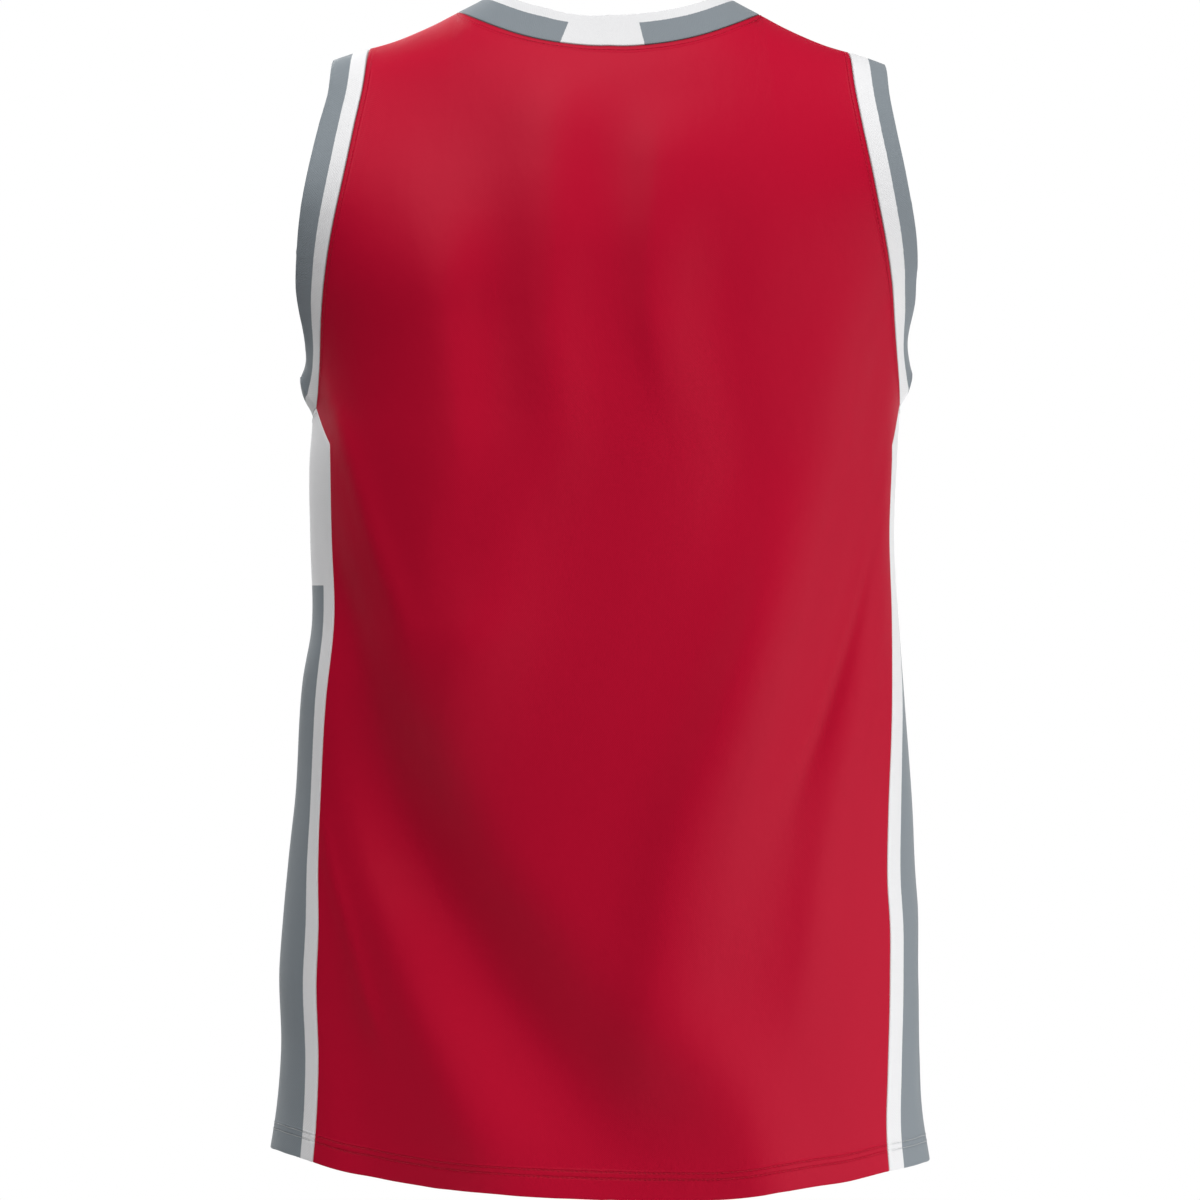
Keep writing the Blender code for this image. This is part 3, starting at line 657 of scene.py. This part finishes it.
def side_panel_grid(side, back_edge, front_edge):
    """Points and normals of a side panel, up to the underarm seam."""
    rows = SIDE_ROWS + ROOF_ROWS + 1
    share = np.linspace(0, 1, SIDE_PANEL_COLUMNS + 1)
    back_angle, back_share = (values[:rows, None] for values in back_edge)
    front_angle, front_share = (values[:rows, None] for values in front_edge)
    angle = side * (back_angle + share * (180 - front_angle - back_angle))
    run = (back_share + share * (front_share - back_share)) * hem_run(angle[0])
    near_top = smooth_step(1 - (run - run[-1]) / (run[-1 - UNDERARM_DIP_ROWS] - run[-1]))
    run = run + near_top * UNDERARM_SEAM_DIP * (1 - (2 * share - 1) ** 2)
    return cloth(angle, run), facing_out(cloth, angle, run)


def spread(vectors, seam):
    """Evens out directions round a closed seam over a short stretch, so that sections don't bunch."""
    step = np.linalg.norm(seam - np.roll(seam, 1, axis=0), axis=-1)
    place = np.cumsum(step)
    gap = np.abs(place[:, None] - place[None, :])
    gap = np.minimum(gap, place[-1] - gap)
    weight = np.exp(-((gap / BAND_TURN_SPREAD) ** 2)) * step[None, :]
    return weight @ vectors


def band_outline(width):
    """Closed outline of a folded band: distance from the seam and depth below the outer face."""
    half = DOUBLE_KNIT / 2
    start = SEAM_GAP / 2
    fin = FIN_DEPTHS[-1] + ROLL
    fin_out = start + BAND_FIN_THICKNESS
    outline = [(start, fin), (start, ROLL + FIN_DEPTHS[0])]
    for swing in np.linspace(np.pi / 2, 0, ARC_STEPS + 1):
        outline.append((start + ROLL * (1 - np.sin(swing)), ROLL * (1 - np.cos(swing))))
    flat = np.linspace(start + ROLL, width - half, int(width / BAND_STEP) + 1)
    outline += [(out, 0) for out in flat[1:-1]]
    for swing in np.linspace(0, np.pi, 2 * ARC_STEPS + 1):
        outline.append((width - half + half * np.sin(swing), half * (1 - np.cos(swing))))
    back = np.linspace(width - half, start + 2 * ROLL, int(width / BAND_STEP / 2) + 1)
    outline += [(out, DOUBLE_KNIT) for out in back[1:]]
    outline += [(fin_out, DOUBLE_KNIT + BAND_FIN_STEP), (fin_out, fin)]
    return ring(np.array(outline))


def band(name, seam, normals, heading, width, bulge, lean, marks, material):
    """Folded band round a closed seam. heading leaves the seam in the plane of the panels.

    marks has other values along the seam, kept with the mesh next to the distance from the seam.
    """
    length = np.linalg.norm(heading, axis=-1, keepdims=True)
    share = np.linspace(0, 1, BAND_FINE_STEPS + 1)
    angle = bulge[:, None] * np.sin(np.pi * share**BULGE_NEAR_SEAM) + lean[:, None] * share
    angle = np.radians(angle)[..., None]
    step = heading[:, None] * np.cos(angle) + (length * normals)[:, None] * np.sin(angle)
    legs = width * (step[:, 1:] + step[:, :-1]) / 2 / BAND_FINE_STEPS
    track = np.concatenate([np.zeros((len(seam), 1, 3)), np.cumsum(legs, axis=1)], axis=1)
    facing = normals[:, None] * np.cos(angle) - (heading / length)[:, None] * np.sin(angle)
    outline = band_outline(width)
    place = outline[:, 0] / width * BAND_FINE_STEPS
    low = np.clip(place.astype(int), 0, BAND_FINE_STEPS - 1)
    part = (place - low)[None, :, None]
    points = seam[:, None] + track[:, low] * (1 - part) + track[:, low + 1] * part
    across = facing[:, low] * (1 - part) + facing[:, low + 1] * part
    grid = ring(points - outline[None, :, 1:] * across)
    uv = np.stack(np.broadcast_arrays(lengths(ring(seam))[:, None], lengths(outline)[None, :]), axis=-1)
    values = {mark: np.broadcast_to(ring(value)[:, None], grid.shape[:2]) for mark, value in marks.items()}
    values["from_seam"] = np.broadcast_to(outline[:, 0], grid.shape[:2])
    keep = np.ones((len(grid) - 1, len(outline) - 1), dtype=bool)
    # The first place of the outline past its rolled edge, where the band is flat.
    flat = ARC_STEPS + 3
    normal = np.cross(grid[0, flat + 1] - grid[0, flat], grid[1, flat] - grid[0, flat])
    outward = np.sum(normal * normals[0]) > 0
    return shell(name, grid, keep, 0, uv, values, outward, material, closed=True)


def armhole_band(name, side, back, front, underarm, material):
    """Armhole band on the armhole edges of the back and the front and on the side panel's top."""
    column = -1 if side > 0 else 0
    back_points, back_normals = (values[ARMHOLE_SPAN, column] for values in back)
    front_points, front_normals = (values[ARMHOLE_SPAN, column] for values in front)
    under_points, under_normals = (values[-1] for values in underarm)
    seam = np.concatenate([back_points, front_points[-2::-1], under_points[-2:0:-1]])
    normals = np.concatenate([back_normals, front_normals[-2::-1], under_normals[-2:0:-1]])
    tangent = unit(np.roll(seam, -1, axis=0) - np.roll(seam, 1, axis=0))
    away = spread(side * np.cross(normals, tangent), seam)
    away = unit(away - np.sum(away * normals, axis=-1, keepdims=True) * normals)
    bulge = BAND_SET.read("bulge", -seam[:, 2])
    lean = BAND_SET.read("left" if side > 0 else "right", -seam[:, 2])
    return band(name, seam, normals, away, ARMHOLE_BAND_WIDTH, bulge, lean, {}, material)


def collar_band(name, back, front, material):
    """Collar band on the back and front neck seams, mitred at the point of the V."""
    back_points, back_normals = (values[-1, NECK_SPAN] for values in back)
    front_points, front_normals = (values[-1, NECK_SPAN] for values in front)
    seam = np.concatenate([back_points, front_points[-2:0:-1]])
    normals = np.concatenate([back_normals, front_normals[-2:0:-1]])
    tangent = unit(np.roll(seam, -1, axis=0) - np.roll(seam, 1, axis=0))
    heading = unit(np.cross(tangent, normals))
    point = len(back_points) + NECK_COLUMNS - 1
    legs = [unit(seam[point + step] - seam[point]) for step in (-MITRE_STATIONS, MITRE_STATIONS)]
    sine = np.sqrt((1 - legs[0] @ legs[1]) / 2)
    free_edge = seam + COLLAR_WIDTH * heading
    free_edge[point] = seam[point] + COLLAR_WIDTH / sine * unit(legs[0] + legs[1])
    for step in (-1, 1):
        end = point + step * MITRE_STATIONS
        for k in range(1, MITRE_STATIONS):
            share = np.linalg.norm(seam[point + step * k] - seam[point])
            share /= np.linalg.norm(seam[end] - seam[point])
            free_edge[point + step * k] = (1 - share) * free_edge[point] + share * free_edge[end]
    heading = (free_edge - seam) / COLLAR_WIDTH
    bulge = np.zeros(len(seam))
    lean = bulge + COLLAR_LEAN
    place = lengths(ring(seam))
    gap = np.abs(place[:-1] - place[NECK_COLUMNS] - COLLAR_GAP_ASIDE)
    marks = {"from_middle": np.minimum(gap, place[-1] - gap)}
    return band(name, seam, normals, heading, COLLAR_WIDTH, bulge, lean, marks, material)


def inset(lines, out, distance):
    """Points on the cloth at a distance from a border. Each line of points goes in from the border."""
    into = unit(lines[:, 2] - lines[:, 0])
    slant = np.maximum(np.abs(np.sum(into * out, axis=-1)), LEAST_SLANT)
    rows = zip(distance / slant, lengths(lines, 1), lines)
    return np.array([read_line(at, place, line) for at, place, line in rows])


def read_line(at, place, line):
    """Vectors of a line at some places along it."""
    return np.stack([np.interp(at, place, values) for values in line.T], axis=-1)


def stitch_places(path, facing):
    """Even places for stitches along a path, each with its direction and the cloth's normal."""
    place = lengths(path)
    count = int(place[-1] / STITCH_PITCH)
    at = (np.arange(count) + 0.5) * place[-1] / count
    points = read_line(at, place, path)
    return points, unit(np.gradient(points, axis=0)), unit(read_line(at, place, facing))


def add_node(tree, kind, **settings):
    made = tree.nodes.new(kind)
    for key, value in settings.items():
        setattr(made, key, value)
    return made


def stitch_tree():
    """Geometry Nodes: one short raised thread at each point, turned by the attributes along and facing."""
    tree = bpy.data.node_groups.new("stitches", "GeometryNodeTree")
    socket = tree.interface.new_socket
    socket(name="Geometry", in_out="INPUT", socket_type="NodeSocketGeometry")
    for name, value in (("Length", STITCH_LENGTH), ("Rise", STITCH_RISE), ("Thread", THREAD / 2)):
        socket(name=name, in_out="INPUT", socket_type="NodeSocketFloat").default_value = value
    socket(name="Material", in_out="INPUT", socket_type="NodeSocketMaterial")
    socket(name="Geometry", in_out="OUTPUT", socket_type="NodeSocketGeometry")

    link = tree.links.new
    given = add_node(tree, "NodeGroupInput")
    arc = add_node(tree, "GeometryNodeCurveQuadraticBezier")
    arc.inputs["Resolution"].default_value = STITCH_STEPS
    for name, across, rise in (("Start", -0.5, -1.0), ("Middle", 0.0, STITCH_CREST), ("End", 0.5, -1.0)):
        corner = add_node(tree, "ShaderNodeCombineXYZ")
        for size, factor, axis in (("Length", across, "X"), ("Rise", rise, "Z")):
            times = add_node(tree, "ShaderNodeMath", operation="MULTIPLY")
            link(given.outputs[size], times.inputs[0])
            times.inputs[1].default_value = factor
            link(times.outputs[0], corner.inputs[axis])
        link(corner.outputs[0], arc.inputs[name])
    circle = add_node(tree, "GeometryNodeCurvePrimitiveCircle")
    circle.inputs["Resolution"].default_value = THREAD_SIDES
    link(given.outputs["Thread"], circle.inputs["Radius"])
    thread = add_node(tree, "GeometryNodeCurveToMesh")
    thread.inputs["Fill Caps"].default_value = True
    link(arc.outputs["Curve"], thread.inputs["Curve"])
    link(circle.outputs["Curve"], thread.inputs["Profile Curve"])
    turn = add_node(tree, "FunctionNodeAxesToRotation", primary_axis="Z", secondary_axis="X")
    for name, target in (("facing", "Primary Axis"), ("along", "Secondary Axis")):
        attribute = add_node(tree, "GeometryNodeInputNamedAttribute", data_type="FLOAT_VECTOR")
        attribute.inputs["Name"].default_value = name
        link(attribute.outputs["Attribute"], turn.inputs[target])
    place = add_node(tree, "GeometryNodeInstanceOnPoints")
    link(given.outputs["Geometry"], place.inputs["Points"])
    link(thread.outputs["Mesh"], place.inputs["Instance"])
    link(turn.outputs["Rotation"], place.inputs["Rotation"])
    real = add_node(tree, "GeometryNodeRealizeInstances")
    link(place.outputs["Instances"], real.inputs["Geometry"])
    smooth = add_node(tree, "GeometryNodeSetShadeSmooth")
    link(real.outputs["Geometry"], smooth.inputs["Geometry"])
    dye = add_node(tree, "GeometryNodeSetMaterial")
    link(smooth.outputs["Geometry"], dye.inputs["Geometry"])
    link(given.outputs["Material"], dye.inputs["Material"])
    link(dye.outputs["Geometry"], add_node(tree, "NodeGroupOutput").inputs["Geometry"])
    return tree


def stitches(name, tree, paths, material):
    """Rows of stitches along paths, each given as its points and the normals there."""
    sets = [stitch_places(*path) for path in paths]
    points, along, facing = (np.concatenate(parts) for parts in zip(*sets))
    points = points + facing * STITCH_LIFT
    mesh = bpy.data.meshes.new(name + "_places")
    mesh.from_pydata(points.tolist(), [], [])
    for key, value in (("along", along), ("facing", facing)):
        mesh.attributes.new(key, "FLOAT_VECTOR", "POINT").data.foreach_set("vector", value.ravel())
    places = bpy.data.objects.new(name + "_places", mesh)
    bpy.context.collection.objects.link(places)
    modifier = places.modifiers.new("stitches", "NODES")
    modifier.node_group = tree
    for item in tree.interface.items_tree:
        if item.name == "Material":
            modifier[item.identifier] = material
    bpy.context.view_layer.update()
    evaluated = places.evaluated_get(bpy.context.evaluated_depsgraph_get())
    made = bpy.data.meshes.new_from_object(evaluated)
    bpy.data.objects.remove(places)
    for key in ("along", "facing"):
        if key in made.attributes:
            made.attributes.remove(made.attributes[key])
    made.name = name
    piece = bpy.data.objects.new(name, made)
    bpy.context.collection.objects.link(piece)
    return piece


class Shader:
    """A Principled material with short calls for the nodes that feed it. A cloth has loops and waves."""

    def __init__(self, name, rough, sheen, gloss, loops=None, waves=None):
        self.material = bpy.data.materials.new(name)
        self.material.use_nodes = True
        self.tree = self.material.node_tree
        self.principled = self.tree.nodes["Principled BSDF"]
        self.loop_sizes = loops
        self.wave_sizes = waves
        self.principled.inputs["Roughness"].default_value = rough
        self.principled.inputs["Sheen Weight"].default_value = sheen
        self.principled.inputs["Sheen Roughness"].default_value = SHEEN_ROUGHNESS
        self.principled.inputs["Specular IOR Level"].default_value = gloss

    def node(self, kind, **settings):
        return add_node(self.tree, kind, **settings)

    def put(self, value, socket):
        """Sets a socket to a number or colour, or links another socket to it."""
        if isinstance(value, bpy.types.NodeSocket):
            self.tree.links.new(value, socket)
        else:
            socket.default_value = value

    def math(self, operation, a, b=0.0, c=None):
        made = self.node("ShaderNodeMath", operation=operation)
        self.put(a, made.inputs[0])
        self.put(b, made.inputs[1])
        if c is not None:
            self.put(c, made.inputs[2])
        return made.outputs[0]

    def mark(self, name):
        return self.node("ShaderNodeAttribute", attribute_name=name).outputs["Fac"]

    def between(self, value, low, high):
        """0 below low, 1 above high, smooth between them."""
        made = self.node("ShaderNodeMapRange", interpolation_type="SMOOTHSTEP")
        self.put(value, made.inputs["Value"])
        made.inputs["From Min"].default_value = low
        made.inputs["From Max"].default_value = high
        return made.outputs["Result"]

    def line(self, value, centre, half_width):
        """1 on a line where value is centre, 0 from half_width away."""
        away = self.math("ABSOLUTE", self.math("SUBTRACT", value, centre))
        return self.math("SUBTRACT", 1.0, self.between(away, 0.0, half_width))

    def mix(self, factor, a, b):
        """Colour a where factor is 0 and b where it is 1."""
        made = self.node("ShaderNodeMix", data_type="RGBA")
        self.put(factor, made.inputs["Factor"])
        for value, socket in zip((a, b), MIX_COLOUR_INPUTS):
            self.put(value, made.inputs[socket])
        return made.outputs[MIX_COLOUR_OUTPUT]

    def uv(self):
        """Both cloth lengths of the UV map, in metres."""
        made = self.node("ShaderNodeSeparateXYZ")
        self.put(self.node("ShaderNodeUVMap", uv_map="UVMap").outputs["UV"], made.inputs[0])
        return made.outputs["X"], made.outputs["Y"]

    def noise(self, scale_u, scale_v, detail=2.0):
        u, v = self.uv()
        place = self.node("ShaderNodeCombineXYZ")
        self.put(self.math("MULTIPLY", u, scale_u), place.inputs["X"])
        self.put(self.math("MULTIPLY", v, scale_v), place.inputs["Y"])
        made = self.node("ShaderNodeTexNoise")
        made.inputs["Scale"].default_value = 1.0
        made.inputs["Detail"].default_value = detail
        self.put(place.outputs[0], made.inputs["Vector"])
        return made.outputs["Fac"]

    def loops(self, pitch_u, pitch_v):
        """Rows of knit loops: 0 between the loops, 1 on them, every other wale shifted by half a loop."""
        u, v = self.uv()
        wale = self.math("COSINE", self.math("MULTIPLY", u, 2 * np.pi / pitch_u))
        course = self.math("COSINE", self.math("MULTIPLY", v, 2 * np.pi / pitch_v))
        return self.math("MULTIPLY_ADD", self.math("MULTIPLY", wale, course), 0.5, 0.5)

    def above(self, value, edge):
        """1 where a value is above an edge, with the soft change of a stripe's edge."""
        return self.between(value, edge - STRIPE_SOFTNESS, edge + STRIPE_SOFTNESS)

    def uneven(self, distance):
        """A distance with the slight wobble of a stripe's edge."""
        waves = self.noise(STRIPE_WAVES, STRIPE_WAVES, 0.0)
        wobble = self.math("MULTIPLY_ADD", waves, STRIPE_WOBBLE, -STRIPE_WOBBLE / 2)
        return self.math("ADD", distance, wobble)

    def painted_seam_shade(self, distance, reach, strength, colour, shade):
        """Painted shade: a colour that darkens to a shade colour along a seam, within reach of it, where
        shade falls in the seam's groove.
        """
        return self.mix(self.math("MULTIPLY", self.line(distance, 0.0, reach), strength), colour, shade)

    def two_yarns(self, colours, is_grey):
        """Colour of a two-colour mesh knit, a little darker in the holes between its loops."""
        holes = self.between(self.loops(HOLE_PITCH, HOLE_PITCH), *HOLE_EDGE)
        darkness = self.math("MULTIPLY", holes, HOLE_DARKNESS)
        return self.mix(darkness, self.mix(is_grey, *colours), HOLE_COLOUR)

    def sewing(self, distance, stitch_lines, layers_end, layers, line, pucker, pucker_waves, pucker_rise):
        """Height of pressed layers along a seam or hem, with sunk stitch lines and pucker beside them."""
        total = self.math("MULTIPLY", self.between(distance, *layers_end), layers)
        for place in stitch_lines:
            total = self.math("MULTIPLY_ADD", self.line(distance, place, line), -STITCH_SINK, total)
        near = self.line(distance, np.mean(stitch_lines), pucker)
        waves = self.math("MULTIPLY", near, self.noise(*pucker_waves, 1.0))
        return self.math("MULTIPLY_ADD", waves, pucker_rise, total)

    def finish(self, colour, sewn):
        """Sets the colour and the relief of loops, waves and, on a sewn panel, seams and hem."""
        loop_u, loop_v, loop_rise = self.loop_sizes
        wave_u, wave_v, wave_rise = self.wave_sizes
        height = self.math("MULTIPLY", self.loops(loop_u, loop_v), loop_rise)
        height = self.math("MULTIPLY_ADD", self.noise(wave_u, wave_v), wave_rise, height)
        if sewn:
            seam = self.sewing(self.mark("from_band"), (TOPSTITCH_IN,), **SEAM_RELIEF)
            hem = self.sewing(self.mark("above_hem"), HEM_STITCH_RISES, **HEM_RELIEF)
            height = self.math("ADD", self.math("ADD", height, seam), hem)
        bump = self.node("ShaderNodeBump")
        bump.inputs["Strength"].default_value = 1.0
        bump.inputs["Distance"].default_value = MILLIMETRE
        self.put(height, bump.inputs["Height"])
        self.put(bump.outputs["Normal"], self.principled.inputs["Normal"])
        self.put(colour, self.principled.inputs["Base Color"])
        return self.material


def red_knit():
    """Smooth polyester knit with a soft sheen, topstitched at the bands and coverstitched at the hem, with
    painted shade along the bands' seams.
    """
    shader = Shader("red_knit_cloth", **CLOTHS["red"])
    # Painted shade: the red darkens close to a band's seam.
    return shader.finish(shader.painted_seam_shade(shader.mark("from_band"), *PANEL_SEAM_PAINTED_SHADE, RED, RED_SEAM_PAINTED_SHADE), True)


def side_knit():
    """White knit with a grey block down the middle, square at its top."""
    shader = Shader("side_knit_cloth", **CLOTHS["side"])
    coords = shader.node("ShaderNodeSeparateXYZ")
    shader.put(shader.node("ShaderNodeTexCoord").outputs["Object"], coords.inputs[0])
    inside = shader.above(shader.uneven(shader.mark("past_stripe")), 0.0)
    above_block = shader.above(shader.uneven(coords.outputs["Z"]), GREY_BLOCK_TOP)
    block = shader.math("MULTIPLY", inside, shader.math("SUBTRACT", 1.0, above_block))
    return shader.finish(shader.two_yarns(KNIT_COLOURS, block), True)


def armhole_rib(name, white):
    """Flat knitted band, white up to a distance from its seam and grey beyond it, with painted shade along
    its seam.
    """
    shader = Shader(name, **CLOTHS["rib"])
    out = shader.mark("from_seam")
    colour = shader.two_yarns(KNIT_COLOURS, shader.above(shader.uneven(out), white))
    # Painted shade: the band darkens close to its seam.
    return shader.finish(shader.painted_seam_shade(out, *BAND_SEAM_PAINTED_SHADE, colour, BAND_SEAM_PAINTED_SHADE_COLOUR), False)


def collar_rib():
    """Flat knitted band, grey next to its seam apart from a gap at the middle, and white beyond, with
    painted shade along its seam.
    """
    shader = Shader("collar_rib_cloth", **CLOTHS["rib"])
    out = shader.mark("from_seam")
    white_edge = shader.above(shader.uneven(out), COLLAR_GREY)
    beside_gap = shader.above(shader.uneven(shader.mark("from_middle")), COLLAR_GAP)
    grey = shader.math("MULTIPLY", beside_gap, shader.math("SUBTRACT", 1.0, white_edge))
    colour = shader.two_yarns(COLLAR_COLOURS, grey)
    # Painted shade: the band darkens close to its seam.
    return shader.finish(shader.painted_seam_shade(out, *BAND_SEAM_PAINTED_SHADE, colour, BAND_SEAM_PAINTED_SHADE_COLOUR), False)


def thread_material(name, colour):
    shader = Shader(name, **THREAD_FINISH)
    shader.principled.inputs["Base Color"].default_value = colour
    return shader.material


def floor():
    """Round pale floor far below the jersey, fading out towards its rim."""
    shader = Shader("floor_paint", **FLOOR_FINISH)
    shader.principled.inputs["Base Color"].default_value = PALE
    centre_out = shader.node("ShaderNodeVectorMath", operation="LENGTH")
    shader.put(shader.node("ShaderNodeTexCoord").outputs["Object"], centre_out.inputs[0])
    solid = shader.between(centre_out.outputs["Value"], FLOOR_RADIUS, FLOOR_FADE_FROM)
    shader.put(solid, shader.principled.inputs["Alpha"])
    turn = np.linspace(0, 2 * np.pi, FLOOR_CORNERS + 1)[:-1]
    verts = [(FLOOR_RADIUS * np.cos(t), FLOOR_RADIUS * np.sin(t), 0) for t in turn]
    mesh = bpy.data.meshes.new("floor")
    mesh.from_pydata(verts, [], [range(len(verts))])
    mesh.materials.append(shader.material)
    disc = bpy.data.objects.new("floor", mesh)
    disc.location = (0, 0, FLOOR_Z)
    bpy.context.collection.objects.link(disc)


def area_light(name, place, size, power):
    data = bpy.data.lights.new(name, "AREA")
    data.shape = "DISK"
    data.size = size
    data.energy = power
    light = bpy.data.objects.new(name, data)
    light.location = place
    light.rotation_euler = (Vector(LIGHTS_AIM) - Vector(place)).to_track_quat("-Z", "Y").to_euler()
    bpy.context.collection.objects.link(light)


def studio():
    """Floor, soft lights and a white surround that lights the cloth only softly."""
    floor()
    for name, place, size, power in LIGHTS:
        area_light(name, place, size, power)
    world = bpy.data.worlds.new("studio")
    world.use_nodes = True
    tree = world.node_tree
    seen = tree.nodes["Background"]
    soft = tree.nodes.new("ShaderNodeBackground")
    for background, strength in ((seen, SKY_STRENGTH), (soft, SOFT_STRENGTH)):
        background.inputs["Color"].default_value = (1, 1, 1, 1)
        background.inputs["Strength"].default_value = strength
    either = tree.nodes.new("ShaderNodeMixShader")
    path = tree.nodes.new("ShaderNodeLightPath")
    tree.links.new(path.outputs["Is Camera Ray"], either.inputs[0])
    tree.links.new(soft.outputs[0], either.inputs[1])
    tree.links.new(seen.outputs[0], either.inputs[2])
    tree.links.new(either.outputs[0], tree.nodes["World Output"].inputs["Surface"])
    bpy.context.scene.world = world
    bpy.context.scene.view_settings.view_transform = "Standard"


def camera():
    data = bpy.data.cameras.new("camera")
    data.lens = CAMERA_LENS
    data.sensor_width = CAMERA_SENSOR
    eye = bpy.data.objects.new("camera", data)
    eye.location = (0, CAMERA_DISTANCE, CAMERA_Z)
    eye.rotation_euler = (np.pi / 2, 0, np.pi)
    bpy.context.collection.objects.link(eye)
    bpy.context.scene.camera = eye


def panel_marks(points, armholes):
    """Distances for the shading of a panel: from the seams of the bands and above the hem."""
    if armholes:
        lines = [points[-1, NECK_SPAN], points[ARMHOLE_SPAN, 0], points[ARMHOLE_SPAN, -1]]
    else:
        lines = [points[-1]]
    from_band = np.min([to_line(points, line) for line in lines], axis=0)
    return {"from_band": from_band, "above_hem": lengths(points)}


def panel_stitches(points, normals, armholes):
    """Stitch paths of a panel: twin lines above the hem and one line beside each band's seam."""
    paths = []
    below = borders_out(points[0], points[1], normals[0])
    lines = points[:STITCH_ROWS].transpose(1, 0, 2)
    for rise in HEM_STITCH_RISES:
        paths.append((inset(lines, below, rise)[1:-1], normals[HEM_STITCH_ROW, 1:-1]))
    inner = NECK_SPAN if armholes else np.s_[:]
    out = borders_out(points[-1], points[-2], normals[-1])[inner]
    lines = points[-1:-STITCH_ROWS:-1, inner].transpose(1, 0, 2)
    paths.append((inset(lines, out, TOPSTITCH_IN)[1:-1], normals[-1, inner][1:-1]))
    if armholes:
        for edge, inside, inwards in ((0, 1, np.s_[:STITCH_ROWS]), (-1, -2, np.s_[:-STITCH_ROWS:-1])):
            out = borders_out(points[:, edge], points[:, inside], normals[:, edge])[ARMHOLE_SPAN]
            path = inset(points[ARMHOLE_SPAN, inwards], out, TOPSTITCH_IN)
            paths.append((path[1:-1], normals[ARMHOLE_SPAN, edge][1:-1]))
    return paths


def finish_piece(piece, node=None):
    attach(piece, "root")
    if node:
        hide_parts(node)


def dress():
    """Makes every visible piece over the CAD nodes."""
    back_edge = panel_edge("back_out")
    front_edge = panel_edge("front_out")
    red = red_knit()
    side = side_knit()
    tree = stitch_tree()
    red_thread = thread_material("red_thread", RED)
    pale_thread = thread_material("pale_thread", THREAD_GREY)
    grids = {
        "back": panel_grid(back_edge, back_neck(), False),
        "front": panel_grid(front_edge, front_neck(), True),
        "side_panel_left": side_panel_grid(1, back_edge, front_edge),
        "side_panel_right": side_panel_grid(-1, back_edge, front_edge),
    }
    for node, (points, normals) in grids.items():
        red_panel = node in ("back", "front")
        material, slot = (red, "red_knit") if red_panel else (side, "side_knit")
        marks = panel_marks(points, red_panel)
        if not red_panel:
            stripe = SIDE_STRIPE.read(node.split("_")[-1], -points[..., 2])
            stripe[:, SIDE_PANEL_COLUMNS // 2 :] = FRONT_SIDE_STRIPE
            from_back = lengths(points, 1)
            marks["past_stripe"] = np.minimum(from_back, from_back[:, -1:] - from_back) - stripe
        piece = sewn_panel(node + "_cloth", points, normals, material, marks)
        finish_piece(piece, node)
        thread = red_thread if red_panel else pale_thread
        rows = stitches(node + "_stitches", tree, panel_stitches(points, normals, red_panel), thread)
        finish_piece(rows)
    for name, side in (("left", 1), ("right", -1)):
        node = "armhole_band_" + name
        underarm = grids["side_panel_" + name]
        rib = armhole_rib("armhole_rib_" + name, ARMHOLE_WHITE[name])
        piece = armhole_band(node + "_cloth", side, grids["back"], grids["front"], underarm, rib)
        finish_piece(piece, node)
    piece = collar_band("collar_cloth", grids["back"], grids["front"], collar_rib())
    finish_piece(piece, "collar")


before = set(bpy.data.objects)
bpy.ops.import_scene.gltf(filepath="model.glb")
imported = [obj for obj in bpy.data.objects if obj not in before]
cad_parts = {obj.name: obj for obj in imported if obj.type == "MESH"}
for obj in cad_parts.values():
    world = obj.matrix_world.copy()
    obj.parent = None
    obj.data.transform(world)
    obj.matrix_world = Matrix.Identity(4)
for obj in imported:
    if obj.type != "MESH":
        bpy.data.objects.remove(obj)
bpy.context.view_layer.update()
dress()
studio()
camera()
